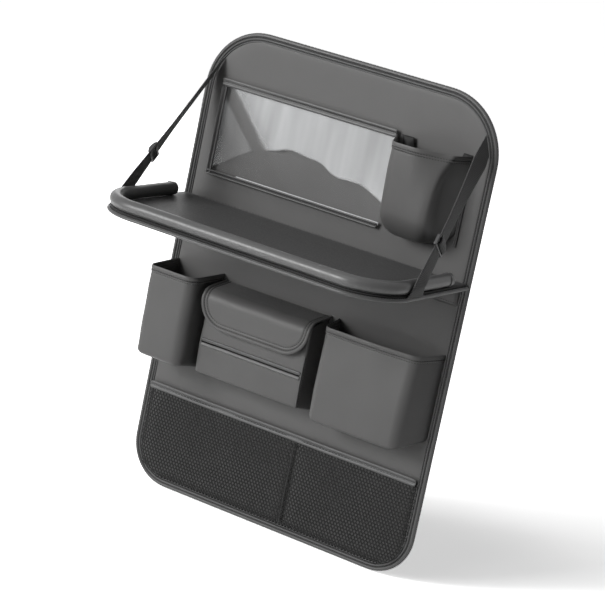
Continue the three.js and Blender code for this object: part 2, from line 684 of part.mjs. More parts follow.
// The net: one wall with staggered diamond gaps, sewn down at its sides and bottom.
function netPocket() {
  const outline = netOutline(0, NET_TOP - GAP);
  const wall = netOutline(0, NET_TOP - GAP);
  const rows = Math.floor((NET_TOP + PANEL_HEIGHT / 2) / NET_PITCH_Z);
  const columns = Math.floor(INNER_EDGE / NET_PITCH_X) + 1;
  for (let row = 0; row < rows; row += 1) {
    const z = NET_TOP - GAP - NET_BORDER - NET_HOLE_HEIGHT / 2 - row * NET_PITCH_Z;
    for (let column = -columns; column <= columns; column += 1) {
      const x = (column + (row % 2) / 2) * NET_PITCH_X;
      if (!holeFits(x, z)) continue;
      const hole = new THREE.Path();
      hole.moveTo(x - NET_HOLE_WIDTH / 2, z);
      hole.lineTo(x, z + NET_HOLE_HEIGHT / 2);
      hole.lineTo(x + NET_HOLE_WIDTH / 2, z);
      hole.lineTo(x, z - NET_HOLE_HEIGHT / 2);
      hole.closePath();
      wall.holes.push(hole);
    }
  }
  const seam = 1.5;
  const border = plate(outline, SEAT, NET_BACK, 3)
    .subtract(plate(netOutline(seam, NET_TOP + 1), SEAT + 1, NET_BACK - 1, 3));
  return plate(wall, NET_BACK, NET_FRONT, 3).add(border);
}

// The binding at the net's mouth, carried by the panel at both ends.
function netBinding() {
  const foot = 8;
  const strip = foldedStrip([-INNER_EDGE, NET_TOP], [INNER_EDGE, NET_TOP], NET_BINDING, NET_BACK,
    TRIM_THICKNESS);
  const footFront = NET_BACK - TRIM_THICKNESS / 3;
  const left = box([-INNER_EDGE, footFront, NET_TOP], [foot - INNER_EDGE, SEAT, NET_TOP + NET_BINDING]);
  const right = box([INNER_EDGE - foot, footFront, NET_TOP], [INNER_EDGE, SEAT, NET_TOP + NET_BINDING]);
  return strip.add(left).add(right);
}

// The stitched tape that divides the net pocket in two.
function netDivider() {
  const low = -(PANEL_HEIGHT / 2 - BINDING_WIDTH - GAP - NET_BORDER);
  const left = DIVIDER_X - DIVIDER_WIDTH / 2;
  return box([left, NET_FRONT - GAP - 1, low], [left + DIVIDER_WIDTH, NET_FRONT - GAP, NET_TOP - GAP]);
}

const organizer = new THREE.Group();
const strapHeight = PANEL_HEIGHT / 2 - BACK_STRAP_FROM_END;
organizer.add(
  piece('back_panel', backPanel(), LEATHER),
  piece('edge_binding', edgeBinding(), LEATHER_EDGE),
  piece('back_lining', backLining(), LINING),
  piece('hanging_strap_upper', backStrap(strapHeight), WEBBING),
  piece('hanging_strap_lower', backStrap(-strapHeight), WEBBING),
  piece('window_film', windowFilm(), FILM),
  piece('window_top_trim', windowTopTrim(), LEATHER_EDGE),
  piece('window_left_trim', windowLeftTrim(), LEATHER_EDGE),
  piece('window_bottom_trim', windowBottomTrim(), LEATHER_EDGE),
  piece('upper_pocket', sewnPocket(UPPER_POCKET), LEATHER),
  piece('bottle_pocket', sewnPocket(BOTTLE_POCKET), LEATHER),
  piece('large_pocket', sewnPocket(LARGE_POCKET), LEATHER),
  piece('tissue_pouch', tissuePouch(), LEATHER),
  piece('tissue_slot_upper_welt', slotWelt(1), LEATHER_EDGE),
  piece('tissue_slot_lower_welt', slotWelt(-1), LEATHER_EDGE),
  piece('tissue_pouch_piping', pouchPiping(), LEATHER_EDGE),
  piece('tissue_flap', tissueFlap(), LEATHER),
  piece('net_pocket', netPocket(), NET),
  piece('net_binding', netBinding(), LEATHER_EDGE),
  piece('net_divider', netDivider(), NET),
  piece('tray_hinge_flap', hingeFlap(), LEATHER),
);

const tray = new THREE.Group();
tray.position.set(0, HINGE_Y, HINGE_HEIGHT);
tray.rotation.x = TRAY_DROOP;
tray.add(
  piece('tray_board', trayBoard(), LEATHER),
  piece('tray_roll', trayRoll(), LEATHER),
  piece('tray_edge_piping', trayPiping(), LEATHER_EDGE),
);
organizer.add(tray);
tray.updateMatrixWorld(true);

for (const [word, side] of [['left', -1], ['right', 1]]) {
  organizer.add(
    piece(`tray_strap_${word}`, trayStrap(side, tray), WEBBING),
    piece(`strap_slider_${word}`, strapSlider(side, tray), PLASTIC),
  );
}

export default organizer;
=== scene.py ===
import math

import bmesh
import bpy
from bpy.props import FloatProperty, FloatVectorProperty, IntProperty, PointerProperty
from mathutils import Matrix, Vector, noise


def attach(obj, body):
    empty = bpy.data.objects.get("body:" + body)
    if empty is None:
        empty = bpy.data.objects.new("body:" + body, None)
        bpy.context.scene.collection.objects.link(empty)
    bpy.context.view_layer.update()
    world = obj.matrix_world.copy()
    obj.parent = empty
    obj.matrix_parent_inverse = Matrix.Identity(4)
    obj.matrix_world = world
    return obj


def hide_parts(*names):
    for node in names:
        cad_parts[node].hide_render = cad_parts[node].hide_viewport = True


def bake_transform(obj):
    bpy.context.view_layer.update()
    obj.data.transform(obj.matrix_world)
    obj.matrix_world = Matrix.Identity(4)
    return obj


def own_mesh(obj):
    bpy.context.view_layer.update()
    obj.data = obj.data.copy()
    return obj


bl_info = {
    "name": "Seat Back Organizer",
    "version": (1, 0, 0),
    "blender": (4, 5, 0),
    "location": "View3D > Sidebar > Organizer",
    "description": "Builds a car seat back organizer's leather, webbing, net and film on its frame",
    "category": "Add Mesh",
}

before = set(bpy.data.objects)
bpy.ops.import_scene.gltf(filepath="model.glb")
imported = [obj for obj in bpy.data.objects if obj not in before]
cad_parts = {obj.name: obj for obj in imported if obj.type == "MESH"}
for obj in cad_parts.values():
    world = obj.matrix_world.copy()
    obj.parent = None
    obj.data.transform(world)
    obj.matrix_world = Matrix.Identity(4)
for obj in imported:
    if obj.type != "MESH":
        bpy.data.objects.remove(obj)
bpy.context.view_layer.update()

# Lengths are millimetres and become metres where a mesh gets its place.
MM = 0.001

# Planes of the frame: the panel's face, where pieces seat on it, and the binding's front
PANEL_FRONT = -7.3
SEAT = -7.6
BINDING_FRONT = -8.3
FRONT = Vector((0, -1, 0))

# The tray's hinge line, droop, plan and thickness, where the roll's arms start and how far from
# the rim it lies
HINGE = Vector((0, -8.8356, 83.6))
TRAY_TURN = Matrix.Rotation(math.radians(1.8), 3, "X")
TRAY_UP = TRAY_TURN @ Vector((0, 0, 1))
TRAY_REACH = 208
TRAY_CORNER = 66
TRAY_THICKNESS = 7.5
ROLL_START = 36
ROLL_INSET = 0.8

# The strap's seam on the panel's corner, its reach on the tray's rim and its half widths there,
# its steps, its twist on the left and on the right, and the adjuster's share of its free span
STRAP_TOP_ANGLE = math.radians(33)
STRAP_LOW_ANGLE = math.radians(11)
STRAP_SEAM_INSET = 12
STRAP_REACH = -129
STRAP_HALF_AT_ROLL, STRAP_HALF_AT_FOOT = 14, 18
STRAP_STEPS = 44
STRAP_TWIST = {-1: math.radians(-11), 1: math.radians(-20)}
SLIDER_AT = 0.7

# Each pocket's plan and the radii of its corners and base, how its right corner leans at the rim
# and how far its right side is drawn in, then the heights of rim and base, behind and in front
UPPER_POCKET = {
    "left": 78, "right": 190, "front_left": 103, "front_right": 171, "depth": 53, "base_depth": 46,
    "left_radius": 14, "right_radius": 23, "base_radius": 29, "lean": (5, 21), "hollow": 8,
    "rim_back": 239, "rim_front": 238, "base_back": 122, "base_front": 118,
}
BOTTLE_POCKET = {
    "left": -211.8, "right": -136, "front_left": -209.5, "front_right": -139, "depth": 65,
    "base_depth": 63, "left_radius": 8, "right_radius": 15, "base_radius": 8,
    "lean": (0, 0), "hollow": 0,
    "rim_back": -6, "rim_front": -10, "base_back": -138, "base_front": -132,
}
LARGE_POCKET = {
    "left": 51, "right": 211.8, "front_left": 60, "front_right": 192, "depth": 46,
    "base_depth": 44, "left_radius": 9, "right_radius": 16, "base_radius": 6,
    "lean": (3, 6), "hollow": 0,
    "rim_back": -12, "rim_front": -16, "base_back": -129, "base_front": -142,
}
TISSUE_POUCH = {
    "left": -127, "right": 36, "front_left": -127, "front_right": 36, "depth": 39,
    "base_depth": 38, "left_radius": 3, "right_radius": 3, "base_radius": 3.5,
    "lean": (0, 0), "hollow": 0,
    "rim_back": -16.7, "rim_front": -26.9, "base_back": -142, "base_front": -135,
}


def length(name, description, metres):
    return FloatProperty(name=name, description=description, default=metres, unit="LENGTH")


def tone(name, description, colour):
    return FloatVectorProperty(name=name, description=description, subtype="COLOR", size=3,
                               default=colour)


class OrganizerSizes(bpy.types.PropertyGroup):
    """Sizes of the organizer's visible pieces, in metres."""

    panel_width: length("Panel width", "Width over the binding", 0.450)
    panel_height: length("Panel height", "Height over the binding", 0.630)
    top_radius: length("Top corner radius", "Radius of the upper corners", 0.084)
    bottom_radius: length("Bottom corner radius", "Radius of the lower corners", 0.059)
    cloth: length("Leather thickness", "Thickness of a pocket's wall", 0.0021)
    stitch_pitch: length("Stitch pitch", "Distance from stitch to stitch", 0.0036)
    stitch_length: length("Stitch length", "Length of thread that shows", 0.0026)
    roll_radius: length("Roll radius", "Radius of the tray's padded roll", 0.0092)
    strap_width: length("Strap width", "Width of the tray's webbing", 0.025)
    net_pitch: length("Net pitch", "Distance from hole to hole in the net", 0.0050)
    net_holes: IntProperty(name="Net columns", description="Holes across the net pocket",
                           default=86, min=10, max=200)


class OrganizerColours(bpy.types.PropertyGroup):
    """Colours of the organizer's finishes."""

    leather: tone("Leather", "Smooth charcoal leather cloth", (0.105, 0.104, 0.103))
    edge: tone("Edge leather", "Folded strips and piping", (0.062, 0.062, 0.062))
    # The tray's tone is the leather darkened as painted shade for the tray's upward face
    tray: tone("Tray leather", "Darker leather of the tray", (0.038, 0.038, 0.038))
    thread: tone("Thread", "Sewing thread", (0.014, 0.014, 0.014))
    webbing: tone("Webbing", "Strap webbing", (0.10, 0.10, 0.10))
    plastic: tone("Plastic", "Moulded adjusters", (0.014, 0.014, 0.015))
    net: tone("Net", "Knitted net", (0.010, 0.010, 0.010))
    lining: tone("Lining", "Lining of the back", (0.030, 0.030, 0.032))
    # The film's colour is the colour of the painted reflection on it
    film: tone("Film", "Clear window film", (0.86, 0.87, 0.88))
    ground: tone("Floor", "Studio floor", (0.40, 0.40, 0.40))


def sizes():
    return bpy.context.scene.organizer_sizes


def colours():
    return bpy.context.scene.organizer_colours


def half_width():
    return sizes().panel_width / MM / 2


def lerp(a, b, share):
    return a + (b - a) * share


def smoothstep(low, high, value):
    share = min(max((value - low) / (high - low), 0), 1)
    return share * share * (3 - 2 * share)


def arch(share):
    """0 at both ends of a span and 1 in its middle."""
    return math.sin(math.pi * min(max(share, 0), 1))


def ripple(point, scale, amount):
    """A smooth unevenness of sewn cloth: scale and amount in millimetres."""
    return noise.noise(Vector(point) / scale) * amount


# Materials

def new_material(name, colour, roughness):
    """A Principled material, its node tree and its shader."""
    material = bpy.data.materials.new(name)
    material.use_nodes = True
    tree = material.node_tree
    shader = tree.nodes["Principled BSDF"]
    shader.inputs["Base Color"].default_value = (*colour, 1)
    shader.inputs["Roughness"].default_value = roughness
    return material, tree, shader


def place_in(tree, kind="Object", scale=(1, 1, 1), turn=0.0):
    """Object or UV coordinates through a Mapping node."""
    where = tree.nodes.new("ShaderNodeTexCoord")
    mapping = tree.nodes.new("ShaderNodeMapping")
    mapping.inputs["Scale"].default_value = scale
    mapping.inputs["Rotation"].default_value = (0, 0, turn)
    tree.links.new(where.outputs[kind], mapping.inputs["Vector"])
    return mapping.outputs["Vector"]


def noise_texture(tree, place, scale, detail=3.0, roughness=0.5):
    node = tree.nodes.new("ShaderNodeTexNoise")
    node.inputs["Scale"].default_value = scale
    node.inputs["Detail"].default_value = detail
    node.inputs["Roughness"].default_value = roughness
    tree.links.new(place, node.inputs["Vector"])
    return node.outputs["Fac"]


def cells_texture(tree, place, scale):
    node = tree.nodes.new("ShaderNodeTexVoronoi")
    node.inputs["Scale"].default_value = scale
    tree.links.new(place, node.inputs["Vector"])
    return node.outputs["Distance"]


def wave_texture(tree, place, scale, direction):
    node = tree.nodes.new("ShaderNodeTexWave")
    node.bands_direction = direction
    node.inputs["Scale"].default_value = scale
    node.inputs["Distortion"].default_value = 0.3
    tree.links.new(place, node.inputs["Vector"])
    return node.outputs["Fac"]


def ranged(tree, value, low, high, to_low, to_high):
    node = tree.nodes.new("ShaderNodeMapRange")
    node.inputs["From Min"].default_value = low
    node.inputs["From Max"].default_value = high
    node.inputs["To Min"].default_value = to_low
    node.inputs["To Max"].default_value = to_high
    tree.links.new(value, node.inputs["Value"])
    return node.outputs["Result"]


def calculated(tree, operation, first, second):
    """A maths node; each side is a socket or a number."""
    node = tree.nodes.new("ShaderNodeMath")
    node.operation = operation
    for socket, value in zip(node.inputs, (first, second)):
        if isinstance(value, (int, float)):
            socket.default_value = value
        else:
            tree.links.new(value, socket)
    return node.outputs["Value"]


def curve_of(tree, value, ends, points):
    """A smooth curve through points, from ends[0] at 0 to ends[1] at 1."""
    node = tree.nodes.new("ShaderNodeFloatCurve")
    curve = node.mapping.curves[0]
    curve.points[0].location = (0, ends[0])
    curve.points[-1].location = (1, ends[1])
    for point in points:
        curve.points.new(*point)
    node.mapping.update()
    tree.links.new(value, node.inputs["Value"])
    return node.outputs["Value"]


def bumped(tree, shader, height, strength, distance, under=None):
    node = tree.nodes.new("ShaderNodeBump")
    node.inputs["Strength"].default_value = strength
    node.inputs["Distance"].default_value = distance
    tree.links.new(height, node.inputs["Height"])
    if under is not None:
        tree.links.new(under, node.inputs["Normal"])
    tree.links.new(node.outputs["Normal"], shader.inputs["Normal"])
    return node.outputs["Normal"]


def varied(tree, shader, value, colour, darker, lighter):
    """Colour between a darker and a lighter version of itself."""
    mix = tree.nodes.new("ShaderNodeMix")
    mix.data_type = "RGBA"
    mix.inputs["A"].default_value = (*[c * darker for c in colour], 1)
    mix.inputs["B"].default_value = (*[c * lighter for c in colour], 1)
    tree.links.new(value, mix.inputs["Factor"])
    tree.links.new(mix.outputs["Result"], shader.inputs["Base Color"])


def leather_material(name, colour, roughness, grain, shine):
    """Smooth leather cloth: fine pebbles over a softer unevenness, with uneven gloss."""
    material, tree, shader = new_material(name, colour, roughness)
    place = place_in(tree)
    broad = noise_texture(tree, place, 9.0, 2.0)
    fine = noise_texture(tree, place, 420.0, 3.0)
    pebbles = cells_texture(tree, place, 1150.0)
    varied(tree, shader, broad, colour, 0.86, 1.14)
    gloss = ranged(tree, fine, 0.3, 0.7, roughness - 0.05, roughness + 0.06)
    tree.links.new(gloss, shader.inputs["Roughness"])
    soft = bumped(tree, shader, fine, 0.16 * grain, 0.0005)
    bumped(tree, shader, pebbles, 0.22 * grain, 0.00022, soft)
    shader.inputs["Specular IOR Level"].default_value = shine
    shader.inputs["Sheen Weight"].default_value = 0.06
    shader.inputs["Sheen Roughness"].default_value = 0.5
    return material


def webbing_material(name, colour):
    """Woven webbing: ribs across the strap and a finer twill along it, on the strap's UV."""
    material, tree, shader = new_material(name, colour, 0.72)
    ribs = wave_texture(tree, place_in(tree, "UV"), 130.0, "Y")
    twill = wave_texture(tree, place_in(tree, "UV", turn=math.radians(32)), 170.0, "X")
    weave = calculated(tree, "MULTIPLY", ribs, twill)
    varied(tree, shader, weave, colour, 0.7, 1.5)
    bumped(tree, shader, weave, 0.5, 0.0004)
    shader.inputs["Sheen Weight"].default_value = 0.2
    shader.inputs["Sheen Roughness"].default_value = 0.4
    shader.inputs["Specular IOR Level"].default_value = 0.25
    return material


def thread_material(name, colour):
    material, tree, shader = new_material(name, colour, 0.6)
    fibres = noise_texture(tree, place_in(tree), 2500.0, 2.0)
    varied(tree, shader, fibres, colour, 0.8, 1.25)
    bumped(tree, shader, fibres, 0.3, 0.0001)
    return material


def plastic_material(name, colour):
    """Moulded plastic with a fine satin texture."""
    material, tree, shader = new_material(name, colour, 0.34)
    speckle = noise_texture(tree, place_in(tree), 1500.0, 2.0)
    gloss = ranged(tree, speckle, 0.3, 0.7, 0.28, 0.42)
    tree.links.new(gloss, shader.inputs["Roughness"])
    bumped(tree, shader, speckle, 0.12, 0.0001)
    return material


def net_material(name, colour):
    material, tree, shader = new_material(name, colour, 0.62)
    yarn = noise_texture(tree, place_in(tree), 1800.0, 2.0)
    varied(tree, shader, yarn, colour, 0.75, 1.3)
    bumped(tree, shader, yarn, 0.35, 0.0002)
    shader.inputs["Specular IOR Level"].default_value = 0.25
    return material


def lining_material(name, colour):
    """Pressed lining cloth with a small embossed dot."""
    material, tree, shader = new_material(name, colour, 0.9)
    place = place_in(tree)
    dots = cells_texture(tree, place, 420.0)
    fibres = noise_texture(tree, place, 900.0, 4.0)
    varied(tree, shader, fibres, colour, 0.7, 1.35)
    under = bumped(tree, shader, fibres, 0.25, 0.0003)
    bumped(tree, shader, dots, 0.4, 0.0004, under)
    return material


# Where the painted reflection of the room ends on the film, as (across, up) shares, and the pale
# bands of that painted reflection, as (across, strength)
FILM_REFLECTION_LINE = [(0.08, 0.15), (0.25, 0.37), (0.42, 0.50), (0.59, 0.475), (0.72, 0.34), (0.80, 0.35)]
FILM_REFLECTION_BANDS = [(0.30, 0.18), (0.42, 0.18), (0.46, 0.03), (0.52, 0.04), (0.56, 0.62), (0.75, 1.15)]

# The film's visible left and right edge, and its lower and upper one, in metres
FILM_SIDES = (-0.185, 0.0792)
FILM_ENDS = (0.123, 0.2347)


def film_material(name, colour):
    """Clear soft film with a painted reflection of the room: pale above a waving line, clear below.
    """
    material, tree, shader = new_material(name, colour, 0.10)
    place = place_in(tree)
    split = tree.nodes.new("ShaderNodeSeparateXYZ")
    tree.links.new(place, split.inputs["Vector"])
    across = ranged(tree, split.outputs["X"], *FILM_SIDES, 0, 1)
    up = ranged(tree, split.outputs["Z"], *FILM_ENDS, 0, 1)
    waves = noise_texture(tree, place, 14.0, 1.5, 0.4)
    # Painted reflection: the film turns pale above a waving line, in slanted bands and streaks
    line = curve_of(tree, across, (0.05, 0.22), FILM_REFLECTION_LINE)
    line = calculated(tree, "ADD", line, ranged(tree, waves, 0.3, 0.7, -0.04, 0.04))
    mirrored = ranged(tree, calculated(tree, "SUBTRACT", up, line), -0.012, 0.015, 0.03, 1.0)
    slanted = calculated(tree, "SUBTRACT", across, calculated(tree, "MULTIPLY", up, -0.42))
    bands = curve_of(tree, calculated(tree, "ADD", slanted, 0.08), (0.42, 1.0), FILM_REFLECTION_BANDS)
    reflection_streaks = noise_texture(tree, place_in(tree, scale=(30.0, 1.0, 5.0)), 1.0, 2.0)
    pale = calculated(tree, "MULTIPLY", mirrored, bands)
    pale = calculated(tree, "MULTIPLY", pale, ranged(tree, reflection_streaks, 0.35, 0.62, 0.66, 1.0))
    # Painted highlight: a thin pale line along the film's lower edge
    edge = calculated(tree, "MULTIPLY", calculated(tree, "LESS_THAN", up, 0.008),
                      calculated(tree, "GREATER_THAN", across, 0.15))
    pale = calculated(tree, "MAXIMUM", pale, calculated(tree, "MULTIPLY", edge, 1.2))
    tree.links.new(ranged(tree, pale, 0.0, 1.6, 0.005, 0.86), shader.inputs["Alpha"])
    bumped(tree, shader, waves, 0.3, 0.003)
    return material


# Each finish's maker, the colour it takes, its further values and the record's slot
FINISHES = {
    "smooth_leather": (leather_material, "leather", (0.46, 1.0, 0.3), "leather"),
    "edge_leather": (leather_material, "edge", (0.40, 0.8, 0.45), "leather_edge"),
    "roll_leather": (leather_material, "edge", (0.38, 0.6, 0.6), "leather"),
    # A darker copy of the leather, painted shade for the tray's upward face
    "tray_leather": (leather_material, "tray", (0.50, 0.8, 0.12), "leather"),
    "strap_webbing": (webbing_material, "webbing", (), "webbing"),
    "thread": (thread_material, "thread", (), "leather_edge"),
    "moulded_plastic": (plastic_material, "plastic", (), "plastic"),
    "net_yarn": (net_material, "net", (), "net"),
    "lining_cloth": (lining_material, "lining", (), "lining"),
    "clear_film": (film_material, "film", (), "film"),
}


def finish_named(name):
    """The finish's material, made on first use."""
    maker, colour, values, _ = FINISHES[name]
    return bpy.data.materials.get(name) or maker(name, getattr(colours(), colour), *values)


# Mesh making

def grid_mesh(columns, rows, place, uv_size=None):
    """A grid of faces whose vertices go to place(column, row), in millimetres."""
    mesh = bmesh.new()
    bmesh.ops.create_grid(mesh, x_segments=columns, y_segments=rows, size=0.5)
    if uv_size:
        layer = mesh.loops.layers.uv.new("UVMap")
        for face in mesh.faces:
            for loop in face.loops:
                share = loop.vert.co
                loop[layer].uv = ((share.x + 0.5) * uv_size[0], (share.y + 0.5) * uv_size[1])
    for vert in mesh.verts:
        column = round((vert.co.x + 0.5) * columns)
        row = round((vert.co.y + 0.5) * rows)
        vert.co = Vector(place(column, row)) * MM
    bmesh.ops.remove_doubles(mesh, verts=mesh.verts, dist=2e-6)
    bmesh.ops.recalc_face_normals(mesh, faces=mesh.faces)
    return mesh


def shell_mesh(line, rows, spot, way=FRONT):
    """A sheet with a column for each point of a line and a row for each of rows."""
    def place(column, row):
        return spot(*line[column], rows[row])

    return turned_towards(grid_mesh(len(line) - 1, len(rows) - 1, place), way)


def turned_towards(mesh, way):
    """Turns an open sheet's faces so that most of its area looks along way."""
    total = sum((face.normal * face.calc_area() for face in mesh.faces), Vector())
    if total.dot(Vector(way)) < 0:
        bmesh.ops.reverse_faces(mesh, faces=mesh.faces)
    return mesh


def in_scene(name, data):
    """A new object of that data, linked into the scene."""
    thing = bpy.data.objects.new(name, data)
    bpy.context.scene.collection.objects.link(thing)
    return thing


def finished(name, mesh, finish, body="panel", nodes=(), sharp=40):
    """Makes the object, gives it its finish and hangs it on its body."""
    data = bpy.data.meshes.new(name)
    mesh.to_mesh(data)
    mesh.free()
    data.materials.append(finish_named(finish))
    data.shade_smooth()
    data.set_sharp_from_angle(angle=math.radians(sharp))
    piece = in_scene(name, data)
    if body:
        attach(piece, body)
    if nodes:
        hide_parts(*nodes)
    return piece


def thicken(piece, thickness, inwards=True):
    solid = piece.modifiers.new("thickness", "SOLIDIFY")
    solid.thickness = thickness
    solid.offset = -1 if inwards else 1
    solid.use_quality_normals = True


def soften_edges(piece, width, segments=2):
    bevel = piece.modifiers.new("soft_edges", "BEVEL")
    bevel.width = width
    bevel.segments = segments
    bevel.limit_method = "ANGLE"
    bevel.angle_limit = math.radians(50)


def refine(piece):
    smooth = piece.modifiers.new("smooth_form", "SUBSURF")
    smooth.levels = smooth.render_levels = 1


def rounded_line(corners, step, arc_steps=8, closed=False, outside=1):
    """Points along a line with rounded corners (x, y, radius), each with its way outwards.

    outside is 1 when the outside is to the left of the way, -1 when it is to the right."""
    count = len(corners)
    stretches = []
    for i, (x, y, radius) in enumerate(corners):
        here = Vector((x, y))
        if not closed and i in (0, count - 1) or not radius:
            stretches.append([here])
            continue
        back = (Vector(corners[i - 1][:2]) - here).normalized()
        ahead = (Vector(corners[(i + 1) % count][:2]) - here).normalized()
        half = math.acos(max(-1, min(1, back.dot(ahead)))) / 2
        centre = here + (back + ahead).normalized() * (radius / math.sin(half))
        start = here + back * (radius / math.tan(half)) - centre
        end = here + ahead * (radius / math.tan(half)) - centre
        sweep = math.atan2(start.x * end.y - start.y * end.x, start.dot(end))
        first = math.atan2(start.y, start.x)
        stretches.append([
            centre + radius * Vector((math.cos(first + sweep * k / arc_steps),
                                      math.sin(first + sweep * k / arc_steps)))
            for k in range(arc_steps + 1)
        ])
    points = []
    for i, stretch in enumerate(stretches):
        points.extend(stretch)
        if i == count - 1 and not closed:
            break
        goal = stretches[(i + 1) % count][0]
        pieces = max(1, round((goal - stretch[-1]).length / step))
        points.extend(stretch[-1].lerp(goal, k / pieces) for k in range(1, pieces))
    if closed:
        points.append(points[0].copy())
    return with_outward(points, closed, outside)


def with_outward(points, closed, outside):
    """Each point with the unit way outwards from the line there."""
    last = len(points) - 1
    result = []
    for i, point in enumerate(points):
        before = points[i - 1] if i else (points[last - 1] if closed else points[0])
        after = points[i + 1] if i < last else (points[1] if closed else points[last])
        along = (after - before).normalized()
        result.append((point, Vector((-along.y, along.x)) * outside))
    return result


def tube_mesh(points, outs, section, closed=False, end_round=0.0):
    """A section (sideways, out) carried along points, sideways being the way times out.

    outs is the way outwards at each point, or one for all of them."""
    count = len(points)
    if isinstance(outs, Vector):
        outs = [outs] * count
    alongs = []
    for i in range(count):
        before = points[i - 1] if i else (points[-2] if closed else points[0])
        after = points[i + 1] if i < count - 1 else (points[1] if closed else points[-1])
        alongs.append((after - before).normalized())
    stations = [(points[i], outs[i], alongs[i], 1.0) for i in range(count)]
    if not closed:
        stations = closed_end(stations[0], 1, end_round) + stations[1:-1] \
            + closed_end(stations[-1], -1, end_round)[::-1]

    def place(column, row):
        point, out, along, scale = stations[row]
        across, up = section[column % len(section)]
        return point + along.cross(out) * across * scale + out * up * scale

    return grid_mesh(len(section), len(stations) - 1, place)


def closed_end(station, way, end_round):
    """Stations that close a tube's end over, from its middle outwards."""
    point, out, along, _ = station
    steps = [0, 20, 45, 70, 90] if end_round else [0, 90]
    result = []
    for step in steps:
        angle = math.radians(step)
        ahead = along * way * end_round * (1 - math.cos(angle - math.pi / 2))
        result.append((point + ahead, out, along, math.sin(angle)))
    return result


def ellipse(across, up, count=12):
    return [(across * math.cos(2 * math.pi * k / count), up * math.sin(2 * math.pi * k / count))
            for k in range(count)]


# A stitch's thickness along one pitch of its seam, as (share of the stitch, share of the thickness)
STITCH_FORM = [(0.0, 0.0), (0.08, 0.7), (0.25, 1.0), (0.75, 1.0), (0.92, 0.7), (1.0, 0.0)]


def stitched(name, lines, body="panel", thick=0.34):
    """Rows of stitches along lines of points in millimetres, as one piece."""
    rows = [stitch_row(line, thick) for line in lines]
    return finished(name, joined(rows), "thread", body)


def stitch_row(line, thick):
    """One seam's stitches: a thread that thins away between one stitch and the next."""
    size = sizes()
    length = size.stitch_length / MM
    stations = []
    out = None
    for centre, along in spaced(line, size.stitch_pitch / MM):
        out = out or along.orthogonal()
        out = (out - along * out.dot(along)).normalized()
        side = along.cross(out)
        for share, form in STITCH_FORM:
            reach = max(form, 0.05) * thick
            stations.append((centre + along * (share - 0.5) * length, out, side, reach))

    def place(column, row):
        centre, out, side, reach = stations[row]
        angle = 2 * math.pi * column / 6
        return centre + (out * math.cos(angle) + side * math.sin(angle)) * reach

    return grid_mesh(6, len(stations) - 1, place)


def joined(meshes):
    """One mesh out of several."""
    whole = bmesh.new()
    for mesh in meshes:
        part = bpy.data.meshes.new("part")
        mesh.to_mesh(part)
        mesh.free()
        whole.from_mesh(part)
        bpy.data.meshes.remove(part)
    return whole


def spaced(line, pitch):
    """Points at an even pitch along a line, each with its way."""
    result = []
    wait = pitch / 2
    for start, end in zip(line, line[1:]):
        length = (end - start).length
        if length < 1e-6:
            continue
        along = (end - start) / length
        while wait <= length:
            result.append((start + along * wait, along))
            wait += pitch
        wait -= length
    return result


# The panel and its binding

def box_line(x, z, top, low, step, arc_steps):
    """A closed outline with rounded corners, x and z from its middle, top and low their radii."""
    corners = [(x, -z, low), (x, z, top), (-x, z, top), (-x, -z, low)]
    return rounded_line(corners, step, arc_steps, closed=True, outside=-1)


def panel_line(inset):
    """The panel's outline at an inset, with the same points for every inset."""
    size = sizes()
    base = box_line(half_width(), size.panel_height / MM / 2, size.top_radius / MM,
                    size.bottom_radius / MM, 10, 14)
    return [(point - outward * inset, outward) for point, outward in base]


def raised_patch(line, insets, rings, centre, height_at, way):
    """A flat patch inside a closed line: rings at insets, then rings that close to centre."""
    stations = [(inset, 0.0) for inset in insets]
    stations += [(insets[-1], k / rings) for k in range(1, rings + 1)]

    def spot(point, outward, station):
        inset, share = station
        flat = (point - outward * inset).lerp(Vector(centre), share)
        return height_at(flat, inset, share)

    return shell_mesh(line, stations, spot, way)


# Insets of the rings of the padded face, from the seam beside the binding inwards
PANEL_EDGE = 10.5
PANEL_RINGS = [PANEL_EDGE, 11.2, 12, 13, 14.5, 17, 21, 27]


def panel_front_height(flat, inset, share):
    """The padded face falls into the seam beside the binding and is a little uneven."""
    fall = 1.1 * math.exp(-(inset - PANEL_EDGE) / 2.2) if share == 0 else 0
    uneven = ripple((flat.x, 3, flat.y), 75, 0.45) + ripple((flat.x, 9, flat.y), 28, 0.12)
    return Vector((flat.x, PANEL_FRONT + 0.3 + fall - uneven * (1 if share else 0.4), flat.y))


def make_panel():
    front = raised_patch(panel_line(0), PANEL_RINGS, 22, (0, 0), panel_front_height, FRONT)
    cover = finished("panel_cover", front, "smooth_leather", nodes=["back_panel"])
    thicken(cover, 5.4 * MM)


# The binding with its two grooves, as (past the panel's edge, forward of the back's plane), and its
# rows of stitches, as (inset, forward)
BINDING_SECTION = [
    (-12.2, 2.2), (-11.5, 1.5), (-8.5, 1.4), (-5.8, 1.9), (-4.3, 1.5), (-2.8, 1.7), (-1.2, 2.6),
    (-0.3, 3.9), (-0.1, 5.2), (-0.6, 6.7), (-1.9, 7.8), (-3.4, 8.2), (-4.6, 7.9), (-5.2, 6.9),
    (-5.9, 5.9), (-6.6, 6.9), (-7.2, 7.9), (-8.0, 8.2), (-8.8, 7.9), (-9.3, 7.1), (-9.8, 6.2),
    (-10.4, 7.1), (-11.1, 7.9), (-11.8, 7.8), (-12.3, 7.2), (-12.5, 6.5),
]
BINDING_SEAMS = [(5.9, 6.5), (9.8, 6.7)]


def panel_ring_points(inset, depth):
    return [Vector((p.x, -depth, p.y)) for p, _ in panel_line(inset)]


